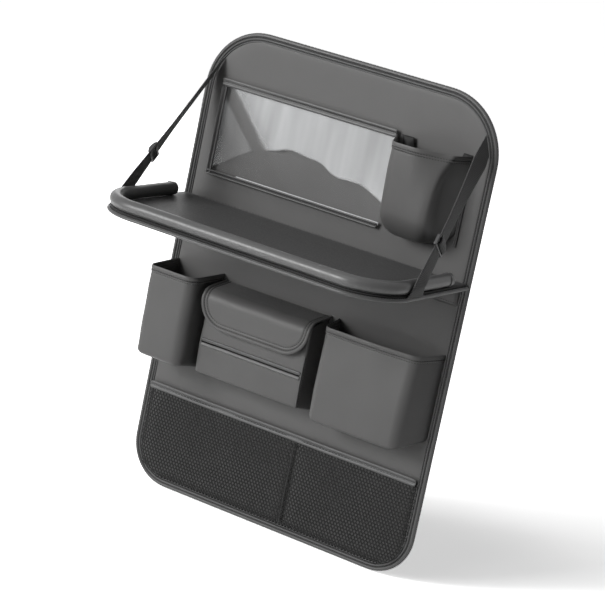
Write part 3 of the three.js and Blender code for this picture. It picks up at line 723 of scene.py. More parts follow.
def make_binding():
    mesh = tube_mesh(panel_ring_points(0, 0), FRONT, BINDING_SECTION, closed=True)
    binding = finished("panel_binding", mesh, "edge_leather", nodes=["edge_binding"], sharp=80)
    refine(binding)
    stitched("binding_stitches", [panel_ring_points(*seam) for seam in BINDING_SEAMS])


# The back

# Half sizes of the lining and half the length of a strap, with the heights of both straps
LINING_X, LINING_Z, LINING_CORNER = 197, 216, 12
BACK_STRAP_HALF, BACK_STRAP_WIDTH = 191, 37
BACK_STRAP_HEIGHTS = {"upper": 253, "lower": -253}


def make_back():
    line = box_line(LINING_X, LINING_Z, LINING_CORNER, LINING_CORNER, 14, 5)

    def height(flat, inset, share):
        return Vector((flat.x, -0.35 + 0.3 * smoothstep(0, 3, inset), flat.y))

    sheet = raised_patch(line, [0, 1, 2, 3, 6], 12, (0, 0), height, -FRONT)
    lining = finished("lining_cloth_back", sheet, "lining_cloth", nodes=["back_lining"])
    thicken(lining, 0.6 * MM)
    stitched("lining_stitches", [[Vector((p.x - n.x * 3, 0.05, p.y - n.y * 3)) for p, n in line]],
             thick=0.28)
    for word, height_mm in BACK_STRAP_HEIGHTS.items():
        make_back_strap(word, height_mm)


def make_back_strap(word, height):
    """A flat band across the back, folded under and box-stitched at both ends."""
    half, rows = BACK_STRAP_HALF, 70

    def place(column, row):
        x = lerp(-half, half, row / rows)
        z = height + BACK_STRAP_WIDTH * (column / 8 - 0.5)
        fold = smoothstep(half - 30, half - 27, abs(x))
        return Vector((x, 0.35 * fold + ripple((x, 0, height), 60, 0.15), z))

    mesh = turned_towards(grid_mesh(8, rows, place, (0.037, 0.382)), -FRONT)
    strap = finished(f"back_strap_{word}", mesh, "strap_webbing", nodes=[f"hanging_strap_{word}"])
    thicken(strap, 1.1 * MM)
    soften_edges(strap, 0.3 * MM)
    boxes = []
    for side in (-1, 1):
        a, b = side * (half - 4), side * (half - 24)
        low, high = height - 14, height + 14
        corners = [(a, low), (b, low), (b, high), (a, high), (a, low), (b, high)]
        boxes.append([Vector((x, 0.45, z)) for x, z in corners])
        boxes.append([Vector((a, 0.45, high)), Vector((b, 0.45, low))])
    stitched(f"back_strap_stitches_{word}", boxes)


# Sewn pockets

# The folded hem from the rim down, as (drop, how far it stands proud), and its two seams
HEM_ROWS = [(0, 0.45), (0.5, 0.9), (2.5, 1.05), (5.1, 1.0), (5.8, 0.05), (6.5, 0.05), (7.2, 1.0),
            (8.4, 0.85), (9.0, 0.0), (9.6, -0.25), (10.6, 0.0), (13, 0.0)]
HEM_SEAMS = [(6.2, 0.6), (9.3, 0.05)]
HEM_HEIGHT = HEM_ROWS[-1][0]


def pocket_rows(walls=16, turns=6, floors=5):
    """Rows from the rim down: hem, wall, rounded base and floor, as (kind, value, proud)."""
    rows = [("rim", drop, proud) for drop, proud in HEM_ROWS]
    rows += [("wall", k / walls, 0.0) for k in range(1, walls + 1)]
    rows += [("turn", math.radians(90 - 90 * k / turns), 0.0) for k in range(1, turns + 1)]
    rows += [("floor", k / floors, 0.0) for k in range(1, floors + 1)]
    return rows


def pocket_line(pocket, step=5):
    corners = [
        (pocket["left"], 0, 0), (pocket["front_left"], pocket["depth"], pocket["left_radius"]),
        (pocket["front_right"], pocket["depth"], pocket["right_radius"]), (pocket["right"], 0, 0),
    ]
    return rounded_line(corners, step, 8, False, 1)


def pocket_spot(pocket, point, outward, row, top, puff=0.0):
    """Where a point of the pocket's plan lies at a row, with the form's own softness."""
    kind, value, proud = row
    flat = point + outward * proud
    middle = (pocket["left"] + pocket["right"]) / 2
    half = (pocket["right"] - pocket["left"]) / 2
    share = max(flat.y, 0) / pocket["depth"]
    shrink = 0.0
    pull = 1.0
    if kind == "floor":
        share *= 1 - value
        shrink = pocket["base_radius"] * (1 - value)
        pull = 1 - 0.5 * value
    base = lerp(pocket["base_back"], pocket["base_front"], share)
    rim = lerp(pocket["rim_back"], pocket["rim_front"], share)
    radius = pocket["base_radius"]
    z = base
    if kind == "rim":
        z = rim - value
    elif kind == "wall":
        z = lerp(rim - top, base + radius, value)
    elif kind == "level":
        z = value
    elif kind == "turn":
        z = base + radius * (1 - math.cos(value))
        shrink = radius * (1 - math.sin(value))
    tall = (z - base) / (rim - base)
    depth = lerp(pocket["base_depth"], pocket["depth"], tall)
    corner = smoothstep(middle, pocket["front_right"], flat.x) * share * max(tall, 0) ** 3
    depth -= pocket["lean"][1] * corner
    x = middle + (flat.x - middle) * (1 - shrink / half) * pull + pocket["lean"][0] * corner
    y = SEAT - share * (depth - shrink)
    beside = smoothstep(pocket["front_right"] - 4, pocket["front_right"] + 2, flat.x)
    x -= pocket["hollow"] * beside * arch(share) * arch(tall)
    if kind == "floor":
        return Vector((x, y, z))
    free = smoothstep(0, 0.25, share)
    creases = ripple((x, y, z), 38, 0.9) + ripple((x, y, z * 0.6), 15, 0.2)
    soft = puff * arch(tall) * free
    soft += creases * free * (0.3 if kind == "rim" else 1)
    return Vector((x + outward.x * soft, y - outward.y * soft, z))


def make_pocket(name, pocket, puff):
    line = pocket_line(pocket)

    def spot(point, outward, row):
        return pocket_spot(pocket, point, outward, row, HEM_HEIGHT, puff)

    mesh = shell_mesh(line, pocket_rows(), spot)
    cover = finished(f"{name}_cover", mesh, "smooth_leather", nodes=[name], sharp=80)
    thicken(cover, sizes().cloth)
    soften_edges(cover, 0.6 * MM)
    seams = [[pocket_spot(pocket, p, n, ("rim", *seam), HEM_HEIGHT) for p, n in line]
             for seam in HEM_SEAMS]
    stitches = stitched(f"{name}_stitches", seams)
    return cover, stitches


# The folds behind the upper pocket's rim, as (left, right, high, low, drift towards the foot)
GUSSET_FOLDS = ((86, 104, 241.5, 226, 4), (178, 190.5, 241, 226, -4))


def make_pocket_gussets():
    """The pocket's side folds behind its rim, near-black as painted shade, and its sewn flange."""
    folds = []
    for left, right, high, low, drift in GUSSET_FOLDS:
        def place(column, row):
            share, down = column / 12, row / 8
            x = lerp(left, right, share) + drift * down
            back = 3.5 + 7 * arch(share) * down + ripple((x, down * 9, 4), 9, 1.2)
            return Vector((x, SEAT - back, lerp(high, low, down) + ripple((x, 0, 1), 14, 1.0)))

        folds.append(turned_towards(grid_mesh(12, 8, place), FRONT))
    # The leather folds take the near-black net yarn: painted shade behind the pocket's rim
    gussets = finished("upper_pocket_gussets", joined(folds), "net_yarn")
    thicken(gussets, 0.9 * MM)
    points = [Vector((190.6, SEAT - 0.4, z)) for z in range(123, 186, 4)]
    mesh = tube_mesh(points, FRONT, [(u * 4.4, v * 1.6) for u, v in FOLDED_STRIP])
    flange = finished("upper_pocket_flange", mesh, "edge_leather", sharp=60)
    return gussets, flange


def make_pockets():
    soft = (*make_pocket("upper_pocket", UPPER_POCKET, 1.0), *make_pocket_gussets())
    for piece in soft:
        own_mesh(piece)
    make_pocket("bottle_pocket", BOTTLE_POCKET, 0.8)
    make_pocket("large_pocket", LARGE_POCKET, 1.2)


# The tissue pouch

# The slot's edges, the pouch's rim and swelling, and the heights of the rows down its wall
SLOT_HIGH, SLOT_LOW = -89.5, -94.5
SLOT_LEFT, SLOT_RIGHT = -121, 30
POUCH_RIM, POUCH_PUFF = 3, 1.2
POUCH_LEVELS = [-34, -42, -50, -58, -66, -72, -78, -83, -87, SLOT_HIGH, SLOT_LOW, -97, -101, -106,
                -111, -116, -121, -126, -130]


def pouch_spot(point, outward, row):
    return pocket_spot(TISSUE_POUCH, point, outward, row, POUCH_RIM, POUCH_PUFF)


def make_tissue_pouch():
    rows = [("rim", 0, 0), ("rim", POUCH_RIM, 0)] + [("level", z, 0) for z in POUCH_LEVELS]
    rows += [("turn", math.radians(90 - 15 * k), 0) for k in range(1, 7)]
    rows += [("floor", k / 4, 0) for k in range(1, 5)]
    mesh = shell_mesh(pocket_line(TISSUE_POUCH, 6), rows, pouch_spot)
    middles = {face: face.calc_center_median() / MM for face in mesh.faces}
    gap = [face for face, spot in middles.items() if SLOT_LOW < spot.z < SLOT_HIGH
           and SLOT_LEFT < spot.x < SLOT_RIGHT and spot.y < SEAT - 34]
    bmesh.ops.delete(mesh, geom=gap, context="FACES")
    cover = finished("tissue_pouch_cover", mesh, "smooth_leather", nodes=["tissue_pouch"], sharp=80)
    thicken(cover, sizes().cloth)
    soften_edges(cover, 0.5 * MM)
    make_welts()
    make_pouch_piping()


def pouch_front(x, z):
    """The pouch's outer face at a place on its front."""
    return pouch_spot(Vector((x, TISSUE_POUCH["depth"])), Vector((0, 1)), ("level", z, 0))


# A welt's section, as (towards the outside of the slot, out)
WELT_SECTION = [(-2.6, 0), (-2.5, 0.9), (-1.9, 1.7), (-0.9, 2.0), (0.2, 1.8), (0.9, 1.2),
                (1.4, 1.3), (2.0, 1.2), (2.5, 0.7), (2.6, 0)]


def make_welts():
    """The folded lips of the slot, each with a stitch line beside it."""
    for word, side in (("upper", 1), ("lower", -1)):
        z = (SLOT_HIGH + SLOT_LOW) / 2 + side * 3.2
        points = [pouch_front(lerp(-124.5, 34, k / 60), z) + Vector((0, 0.2, 0)) for k in range(61)]
        points = [p + Vector((0, ripple(p, 30, 0.3), ripple(p, 45, 0.3))) for p in points]
        shape = [(across * side, up) for across, up in WELT_SECTION]
        welt = finished(f"slot_welt_{word}", tube_mesh(points, FRONT, shape), "edge_leather",
                        nodes=[f"tissue_slot_{word}_welt"], sharp=70)
        refine(welt)
        seam = [p + Vector((0, -1.35, side * 0.85)) for p in points]
        stitched(f"slot_stitches_{word}", [seam], thick=0.3)


def make_pouch_piping():
    x = TISSUE_POUCH["right"] - 0.2
    points = [Vector((x, pouch_front(x, z).y - 0.1, z)) for z in range(-134, -64, 3)]
    mesh = tube_mesh(points, Vector((0.7071, -0.7071, 0)), ellipse(1.25, 1.25, 8), end_round=1.0)
    finished("pouch_corner_piping", mesh, "edge_leather", nodes=["tissue_pouch_piping"])
    stitched("pouch_corner_stitches", [[p + Vector((2.0, 1.9, 0)) for p in points]], thick=0.25)


# The flap over the tissue pouch

FLAP_LEFT, FLAP_RIGHT = -131.5, 40.5
FLAP_LENGTH = 92.0
FLAP_CORNER = 38.0


def flap_profile():
    """The flap's outer face from the panel: out, over the bend and down, as (out, z)."""
    corners = [(0, -14.0, 0), (48.6, -22.2, 16), (47.2, -76, 0)]
    return [p for p, _ in rounded_line(corners, 2.0, 12)]


def along_profile(profile, length):
    """The place and the outward way at a length along the profile."""
    walked = 0.0
    for start, end in zip(profile, profile[1:]):
        step = (end - start).length
        if walked + step >= length or end is profile[-1]:
            way = (end - start).normalized()
            return start + way * (length - walked), Vector((-way.y, way.x))
        walked += step


def flap_spot(profile, x, length, proud):
    place, outward = along_profile(profile, max(length, 0))
    soft = 0.7 * arch(length / FLAP_LENGTH) + ripple((x, length, 5), 42, 0.7)
    rise = proud + soft * smoothstep(0, 20, length)
    return Vector((x, SEAT - place.x - outward.x * rise, place.y + outward.y * rise))


def flap_outline(step=5):
    corners = [
        (FLAP_LEFT, 0, 0), (FLAP_LEFT, FLAP_LENGTH, FLAP_CORNER),
        (FLAP_RIGHT, FLAP_LENGTH, FLAP_CORNER), (FLAP_RIGHT, 0, 0),
    ]
    return rounded_line(corners, step, 12, False, 1)


# The flap's raised edge, as (inset, how far it stands proud), and the insets of its two seams
FLAP_EDGE = [(0, 0.1), (0.5, 1.0), (1.8, 1.6), (3.4, 1.5), (4.4, 0.8), (4.9, -0.1), (5.4, -0.3),
             (6.0, 0.3), (7.2, 0.55), (8.2, 0.2), (8.8, -0.35), (9.4, -0.35), (10.2, 0.15),
             (12, 0.2), (16, 0.1)]
FLAP_SEAMS = (5.15, 9.1)


def make_flap():
    profile = flap_profile()
    line = flap_outline()
    rings = 22
    rows = [(inset, proud, 0.0) for inset, proud in FLAP_EDGE]
    rows += [(FLAP_EDGE[-1][0], 0.1 * (1 - k / rings), k / rings) for k in range(1, rings + 1)]
    middle = (FLAP_LEFT + FLAP_RIGHT) / 2

    def spot(point, outward, row):
        inset, proud, share = row
        flat = point - outward * inset
        if share:
            flat = flat.lerp(Vector((lerp(middle, flat.x, 0.3), 0)), share)
        return flap_spot(profile, flat.x, flat.y, proud)

    mesh = shell_mesh(line, rows, spot, (0, -1, 1))
    flap = finished("tissue_flap_cover", mesh, "smooth_leather", nodes=["tissue_flap"], sharp=80)
    thicken(flap, sizes().cloth)
    soften_edges(flap, 0.6 * MM)
    seams = [
        [flap_spot(profile, p.x - n.x * inset, p.y - n.y * inset, 0.1) for p, n in line]
        for inset in FLAP_SEAMS
    ]
    stitched("flap_stitches", seams, thick=0.3)


# The window pocket

# The window's edges, the film's plane and the middle lines of the trims
WINDOW_LEFT, WINDOW_RIGHT = -194.0, 76.8
WINDOW_LOW, WINDOW_HIGH = 115.5, 245.5
FILM_BACK = -11.9
SIDE_TRIM_X = WINDOW_LEFT + 4.5
TOP_TRIM_Z = WINDOW_HIGH - 5.4
BASE_TRIM_Z = WINDOW_LOW + 3.75

# Each trim's node, the x and z of its ends, its y, width, thickness and steps
WINDOW_TRIMS = {
    "window_mouth_trim": (
        "window_top_trim", (WINDOW_LEFT, TOP_TRIM_Z), (WINDOW_RIGHT + 2.4, TOP_TRIM_Z),
        FILM_BACK - 0.4, 10.6, 2.0, 50),
    "window_side_trim": (
        "window_left_trim", (SIDE_TRIM_X, WINDOW_LOW), (SIDE_TRIM_X, WINDOW_HIGH - 11),
        FILM_BACK + 1.2, 8.8, 3.1, 24),
    "window_base_trim": (
        "window_bottom_trim", (WINDOW_LEFT, BASE_TRIM_Z), (WINDOW_RIGHT + 1, BASE_TRIM_Z),
        FILM_BACK + 1.0, 7.4, 2.9, 50),
}

# A folded and stitched strip, as shares of its width and thickness
FOLDED_STRIP = [(-0.5, 0), (-0.5, 0.7), (-0.42, 0.95), (-0.3, 1.0), (-0.18, 0.9), (-0.09, 0.5),
                (0.0, 0.3), (0.09, 0.5), (0.18, 0.9), (0.3, 1.0), (0.42, 0.95), (0.5, 0.7),
                (0.5, 0)]


def strip_piece(name, node, start, end, y, width, thick, steps, wave=0.25):
    """A folded and stitched strip from one place to another, (x, z), on its middle line."""
    points = []
    for k in range(steps + 1):
        p = Vector((start[0], y, start[1])).lerp(Vector((end[0], y, end[1])), k / steps)
        points.append(p + Vector((0, ripple(p, 55, wave), ripple(p, 70, wave))))
    mesh = tube_mesh(points, FRONT, [(u * width, v * thick) for u, v in FOLDED_STRIP])
    strip = finished(name, mesh, "edge_leather", nodes=[node], sharp=60)
    refine(strip)
    stitched(f"{name}_stitches", [[p + Vector((0, -0.42 * thick, 0)) for p in points]], thick=0.3)


def film_height(x, z):
    """The film waves a little between its trims."""
    across = (x - WINDOW_LEFT) / (WINDOW_RIGHT - WINDOW_LEFT)
    up = (z - WINDOW_LOW) / (WINDOW_HIGH - WINDOW_LOW)
    free = arch(across) ** 0.5 * (0.35 + 0.65 * math.sin(math.pi * up * 0.5))
    return FILM_BACK - 0.3 - free * (ripple((x * 0.9, 0, z * 0.5), 34, 1.3) + 0.5)


def make_window():
    left, right = WINDOW_LEFT + 5.5, WINDOW_RIGHT + 2.6
    low, high = WINDOW_LOW + 4.5, WINDOW_HIGH - 6

    def place(column, row):
        x, z = lerp(left, right, column / 80), lerp(low, high, row / 36)
        return Vector((x, film_height(x, z), z))

    mesh = turned_towards(grid_mesh(80, 36, place), FRONT)
    film = finished("window_clear_film", mesh, "clear_film", nodes=["window_film"])
    thicken(film, 0.35 * MM)
    for name, (node, *form) in WINDOW_TRIMS.items():
        strip_piece(name, node, *form)


# The net pocket

# The net's upper edge and height, the half width and foot of its outline and their corner, where it
# is sewn down and how far from there it rises, and its middle seam
NET_TOP = -187.0
NET_HEIGHT = 122
NET_HALF, NET_LOW, NET_CORNER = 213.5, -303.5, 47.0
NET_SEWN_X, NET_SEWN_Z, NET_RISE = 212, -302, 16
NET_SEAM_X = 25


def net_height(x, z):
    """The net stands off the panel and is drawn in at its edges."""
    side = min(NET_SEWN_X - abs(x), z - NET_SEWN_Z) / NET_RISE
    edge = math.sin(math.pi / 2 * min(max(side, 0), 1)) ** 0.7
    slack = smoothstep(-300, NET_TOP, z) * (1.2 + ripple((x, 0, z), 60, 1.2))
    seam = 1 - 0.6 * math.exp(-((x - NET_SEAM_X) / 9) ** 2)
    return SEAT - 0.5 - (3.6 + slack) * edge * seam


def inside_net(x, z):
    if abs(x) > NET_HALF or z < NET_LOW or z > NET_TOP + 2:
        return False
    into_x, into_z = abs(x) - (NET_HALF - NET_CORNER), NET_LOW + NET_CORNER - z
    return into_x < 0 or into_z < 0 or math.hypot(into_x, into_z) < NET_CORNER


def make_net():
    """A knitted net: a honeycomb of cells, each opened to a hole with rounded yarn between."""
    pitch = sizes().net_pitch / MM
    columns = sizes().net_holes
    rise = pitch * math.sqrt(3) / 2
    rows = int(NET_HEIGHT / (2 * rise))
    mesh = bmesh.new()
    for x, z in ((0, 0), (pitch / 2, -rise)):
        corner = Vector((x - (columns // 2) * pitch, NET_TOP + 2 + z, 0)) * MM
        place = Matrix.Translation(corner) @ Matrix.Rotation(math.pi / 6, 4, "Z")
        bmesh.ops.create_circle(mesh, cap_ends=True, segments=6, radius=pitch / math.sqrt(3) * MM,
                                matrix=place)
    for step, times in (((pitch * MM, 0, 0), columns), ((0, -2 * rise * MM, 0), rows)):
        bmesh.ops.spin(mesh, geom=mesh.faces[:] + mesh.edges[:] + mesh.verts[:], cent=(0, 0, 0),
                       axis=(0, 0, 1), dvec=step, angle=0, steps=times, use_duplicate=True)
    middles = {face: face.calc_center_median() for face in mesh.faces}
    outside = [face for face, spot in middles.items() if not inside_net(spot.x / MM, spot.y / MM)]
    bmesh.ops.delete(mesh, geom=outside, context="FACES")
    bmesh.ops.remove_doubles(mesh, verts=mesh.verts, dist=0.2 * MM)
    holes = bmesh.ops.inset_individual(mesh, faces=mesh.faces[:], thickness=0.85 * MM)
    inner = [face for face in mesh.faces if face not in set(holes["faces"])]
    bmesh.ops.delete(mesh, geom=inner, context="FACES_ONLY")
    for vert in mesh.verts:
        x, z = vert.co.x / MM, vert.co.y / MM
        vert.co = Vector((x, net_height(x, z), z)) * MM
    turned_towards(mesh, FRONT)
    net = finished("net_pocket_cloth", mesh, "net_yarn", nodes=["net_pocket"])
    thicken(net, 0.9 * MM)
    strip_piece("net_mouth_binding", "net_binding", (-213, NET_TOP + 5), (213, NET_TOP + 5), -11.6,
                10.2, 2.1, 80, 0.35)
    make_net_seam()


def make_net_seam():
    x = NET_SEAM_X
    points = [Vector((x + ripple((0, 0, z), 40, 0.6), net_height(x, z) - 0.35, z))
              for z in range(-300, -186, 4)]
    mesh = tube_mesh(points, FRONT, ellipse(1.3, 0.35, 10))
    finished("net_seam_tape", mesh, "net_yarn", nodes=["net_divider"])
    seam = [p + Vector((0, -0.4, 0)) for p in points]
    stitched("net_seam_stitches", [seam], thick=0.4)


# The tray

def on_tray(point):
    """From the tray's own frame, hinge line at its origin, to the row's."""
    return HINGE + TRAY_TURN @ Vector(point)


def tray_corners(inset, start, start_radius):
    half, front = half_width() - inset, -TRAY_REACH + inset
    radius = TRAY_CORNER - inset
    return [(-half, start, start_radius), (-half, front, radius), (half, front, radius),
            (half, start, start_radius)]


def tray_line(inset):
    """The tray's outline in plan, closed along the hinge."""
    return rounded_line(tray_corners(inset, 0, 1.5), 8, 14, True, -1)


def tray_rim(inset, start, step=6, arc_steps=22):
    """The tray's rim from the left arm round the front to the right arm."""
    base = rounded_line(tray_corners(0, -start, 0), step, arc_steps, False, -1)
    return [p - n * inset for p, n in base]


def make_tray_board():
    def top(flat, inset, share):
        fall = 1.4 * math.exp(-inset / 0.8) if share == 0 else 0
        return on_tray((flat.x, flat.y, ripple((flat.x, flat.y, 2), 90, 0.12) - fall))

    upper = raised_patch(tray_line(3.4), [0, 0.3, 0.7, 1.2], 20, (0, -TRAY_REACH / 2), top,
                         (0, 0, 1))
    board = finished("tray_cover", upper, "tray_leather", "tray", nodes=["tray_board"], sharp=60)
    thicken(board, (TRAY_THICKNESS - 0.6) * MM)
    soften_edges(board, 1.4 * MM, 3)


def roll_height():
    """The roll's middle line above the tray: it is pressed a little flat there."""
    return 0.3 + sizes().roll_radius / MM * math.cos(math.radians(30))


def make_tray_roll():
    """The stuffed roll along the rim: creased inside its bends, capped at its ends."""
    radius = sizes().roll_radius / MM
    rim = tray_rim(radius + ROLL_INSET, ROLL_START + radius * 0.2, 5, 26)
    points = [on_tray((p.x, p.y, roll_height())) for p in rim]
    section = [(across, max(rise, -radius * 0.86)) for across, rise in ellipse(radius, radius, 24)]
    mesh = tube_mesh(points, TRAY_UP, section, end_round=radius)
    centre = Vector(on_tray((0, -TRAY_REACH / 2, 0))) * MM
    for vert in mesh.verts:
        spot = vert.co / MM
        inward = (centre - vert.co).normalized()
        corner = smoothstep(120, 165, abs(spot.x)) * smoothstep(-120, -150, spot.y)
        crease = ripple((spot.x * 1.6, spot.y * 1.6, spot.z * 0.4), 9, 0.5) * corner
        swell = ripple(spot, 46, 0.5) + ripple(spot, 17, 0.15)
        vert.co += (vert.normal * (swell - 0.3) + inward * crease) * MM
    roll = finished("tray_padded_roll", mesh, "roll_leather", "tray", nodes=["tray_roll"], sharp=80)
    refine(roll)
    bands = [roll_end_band(side) for side in (-1, 1)]
    finished("roll_end_seams", joined(bands), "edge_leather", "tray")


def roll_end_band(side):
    """The seam round the roll where its end cap begins."""
    radius = sizes().roll_radius / MM
    x, back = side * (half_width() - radius - ROLL_INSET), -(ROLL_START + radius * 1.05)
    loop = [on_tray((x + across, back, roll_height() + max(rise, -8.0)))
            for across, rise in ellipse(radius + 0.05, radius + 0.05, 28)]
    loop.append(loop[0].copy())
    middle = sum(loop, Vector()) / len(loop)
    outs = [(p - middle).normalized() for p in loop]
    return tube_mesh(loop, outs, ellipse(0.9, 0.5, 8), closed=True)


def make_tray_piping():
    """The piping along the rim, the tape that sews it on, and its stitches."""
    points = [on_tray((p.x, p.y, -5.5)) for p in tray_rim(1.8, 0.5)]
    mesh = tube_mesh(points, TRAY_UP, ellipse(1.8, 2.0, 14), end_round=1.5)
    piping = finished("tray_rim_piping", mesh, "edge_leather", "tray", nodes=["tray_edge_piping"])
    refine(piping)
    points = [on_tray((p.x, p.y, -3.5)) for p in tray_rim(4.4, 0.5)]
    tape = tube_mesh(points, TRAY_UP, [(-2.8, -0.6), (2.8, -0.6), (2.8, 0.6), (-2.8, 0.6)])
    finished("tray_rim_tape", tape, "edge_leather", "tray")
    seam = [on_tray((p.x, p.y, -2.8)) for p in tray_rim(2.9, 2)]
    stitched("tray_rim_stitches", [seam], "tray", thick=0.35)


HINGE_CLOTH_HALF = 212.4
HINGE_CLOTH_LOW, HINGE_CLOTH_HIGH = 51.6, 75.6


def make_hinge_flap():
    """The cloth that sews the tray to the panel, under the tray."""
    def place(column, row):
        x = lerp(-HINGE_CLOTH_HALF, HINGE_CLOTH_HALF, column / 60)
        z = lerp(HINGE_CLOTH_LOW, HINGE_CLOTH_HIGH, row / 8)
        swell = 0.5 * arch(row / 8) + ripple((x, 0, z), 50, 0.3)
        return Vector((x, SEAT - 0.9 - swell, z))

    mesh = turned_towards(grid_mesh(60, 8, place), FRONT)
    flap = finished("tray_hinge_cloth", mesh, "smooth_leather", nodes=["tray_hinge_flap"])
    thicken(flap, 0.8 * MM)
    seam = [Vector((x, SEAT - 1.5, 55.5)) for x in range(-208, 212, 4)]
    stitched("hinge_stitches", [seam], thick=0.3)


# The holding straps

def strap_seam(side):
    """The strap's two edges where it is sewn to the panel, front edge first."""
    corner = sizes().top_radius / MM
    x, z = half_width() - corner, sizes().panel_height / MM / 2 - corner
    reach = corner - STRAP_SEAM_INSET
    return [Vector((side * (x + reach * math.cos(a)), BINDING_FRONT - 1.1, z + reach * math.sin(a)))
            for a in (STRAP_TOP_ANGLE, STRAP_LOW_ANGLE)]


def strap_beside_roll(side):
    """The strap's two edges where its free span meets the outside of the roll."""
    x, half = side * (half_width() + 0.5), STRAP_HALF_AT_ROLL
    return [on_tray((x, STRAP_REACH + way, roll_height())) for way in (-half, half)]


def strap_foot(side):
    """The strap's two edges where it is sewn under the roll."""
    x, half = side * (half_width() - 2.6), STRAP_HALF_AT_FOOT
    return [on_tray((x, STRAP_REACH + way, -2.6)) for way in (-half, half)]


def strap_span(side):
    """The middle of the free span's two ends."""
    return [(first + second) / 2 for first, second in (strap_seam(side), strap_beside_roll(side))]


def strap_edges(side, share):
    """The strap's edges at a share of its free span, at full width."""
    seam, low = strap_seam(side), strap_beside_roll(side)
    start, end = strap_span(side)
    along = (end - start).normalized()
    across = (seam[1] - seam[0]).lerp(low[1] - low[0], share)
    across -= along * across.dot(along)
    across = across.normalized() * (sizes().strap_width / MM / 2)
    across = Matrix.Rotation(STRAP_TWIST[side] * arch(share), 3, along) @ across
    centre = start.lerp(end, share)
    return [centre - across, centre + across]


def strap_stations(side):
    """The strap's two edges from the seam down the free span and round under the roll."""
    seam, low = strap_seam(side), strap_beside_roll(side)
    stations = [seam]
    for k in range(1, STRAP_STEPS):
        share = k / STRAP_STEPS
        held = max(1 - smoothstep(0.0, 0.14, share), smoothstep(0.86, 1.0, share))
        stations.append([edge.lerp(start.lerp(end, share), held)
                         for edge, start, end in zip(strap_edges(side, share), seam, low)])
    stations.append(low)
    stations += [[a.lerp(b, k / 4) for a, b in zip(low, strap_foot(side))] for k in range(1, 5)]
    return stations


def make_strap(word, side):
    stations = strap_stations(side)

    def place(column, row):
        a, b = stations[row]
        hollow = 0.35 * arch(column / 8)
        return a.lerp(b, column / 8) + Vector((side * hollow, 0, 0))

    mesh = turned_towards(grid_mesh(8, len(stations) - 1, place, (0.025, 0.28)), (side, 0, 0))
    strap = finished(f"tray_webbing_{word}", mesh, "strap_webbing", None,
                     nodes=[f"tray_strap_{word}"])
    thicken(strap, 1.3 * MM, inwards=False)
    soften_edges(strap, 0.35 * MM)
    bend_with_tray(strap)
    make_slider(word, side)


def bend_with_tray(piece):
    """Bakes the piece's place into its mesh."""
    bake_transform(piece)


# The adjuster's bars, as (across, along) of the middle, (across, along) size, (thickness, lift)
SLIDER_BARS = [
    ((0, -6.0), (32, 3.4), (5.0, 0)), ((0, 6.4), (32, 2.6), (4.2, 0)),
    ((0, 0), (30, 3.0), (2.2, 1.5)),
    ((-15.0, 0), (3.0, 14), (4.6, 0)), ((15.0, 0), (3.0, 14), (4.6, 0)),
]


def make_slider(word, side):
    """A moulded frame with a middle bar that the webbing threads through."""
    a, b = strap_edges(side, SLIDER_AT)
    start, end = strap_span(side)
    along, across = (end - start).normalized(), (b - a).normalized()
    out = along.cross(across).normalized()
    if out.x * side < 0:
        out.negate()
    place = Matrix((across, along, out)).transposed().to_4x4()
    place.translation = ((a + b) / 2 + out * 0.6) * MM
    mesh = bmesh.new()
    for (x, y), (wide, long), (thick, lift) in SLIDER_BARS:
        size = Matrix.Diagonal((wide * MM, long * MM, thick * MM, 1))
        shift = Matrix.Translation(Vector((x, y, lift)) * MM)
        bmesh.ops.create_cube(mesh, size=1, matrix=place @ shift @ size)
    slider = finished(f"strap_adjuster_{word}", mesh, "moulded_plastic", None,
                      nodes=[f"strap_slider_{word}"], sharp=30)
    soften_edges(slider, 0.9 * MM, 3)
    bend_with_tray(slider)
    make_strap_loop(word, side, place)


# The webbing's return over the adjuster's middle bar, as (along, lift)
LOOP_BOW = [(-11.5, 1.6), (-8.5, 3.0), (-6.0, 4.4), (-3.0, 5.2), (0, 5.6), (3.0, 5.2), (4.6, 3.8),
            (4.4, 2.0)]


def make_strap_loop(word, side, place):
    def spot(column, row):
        along, lift = LOOP_BOW[row]
        return place @ (Vector((lerp(-12, 12, column / 6), along, lift)) * MM) / MM

    mesh = turned_towards(grid_mesh(6, len(LOOP_BOW) - 1, spot, (0.024, 0.02)), (side, 0, 0))
    loop = finished(f"tray_webbing_loop_{word}", mesh, "strap_webbing", None)
    thicken(loop, 1.2 * MM)
    refine(loop)
    bend_with_tray(loop)


def make_straps():
    for word, side in (("left", -1), ("right", 1)):
        make_strap(word, side)


# The stage

FLOOR_HEIGHT = -0.3165
FLOOR_REACH = 60

# How strongly the background's rays see the floor as lit, and how pale it is for them
FLOOR_LIT_SHARE = 0.66
FLOOR_LIT_COLOUR = 5.1
WORLD_LEVEL = 0.06

# Each area light's place, target and (width, height) in metres, and its power in watts
AREA_LIGHTS = {
    "key_light": ((-1.25, -2.15, 0.95), (-0.12, 0, 0.2), (0.8, 0.8), 25),
    "top_strip": ((-0.4, -1.0, 1.9), (-0.05, -0.12, 0.05), (1.5, 0.4), 6),
    "edge_light": ((-2.0, 2.4, 0.9), (0, 0, 0), (1.4, 1.6), 9),
}
SUN_WAY = (0.50, 0.82, -0.28)
SUN_STRENGTH = 1.5
SUN_ANGLE = math.radians(36)

CAMERA_PLACE = (1.7882, -2.9748, 0.7496)
CAMERA_RIGHT = (0.8144, 0.5445, 0.2006)
CAMERA_WAY = (-0.5061, 0.8356, -0.2135)
CAMERA_LENS = 163.24


def background_rays(tree):
    """1 for the rays that show the white background: straight, mirrored or passed through."""
    rays = tree.nodes.new("ShaderNodeLightPath").outputs
    seen = calculated(tree, "MAXIMUM", rays["Is Camera Ray"], rays["Is Glossy Ray"])
    return calculated(tree, "MAXIMUM", seen, rays["Is Transmission Ray"])


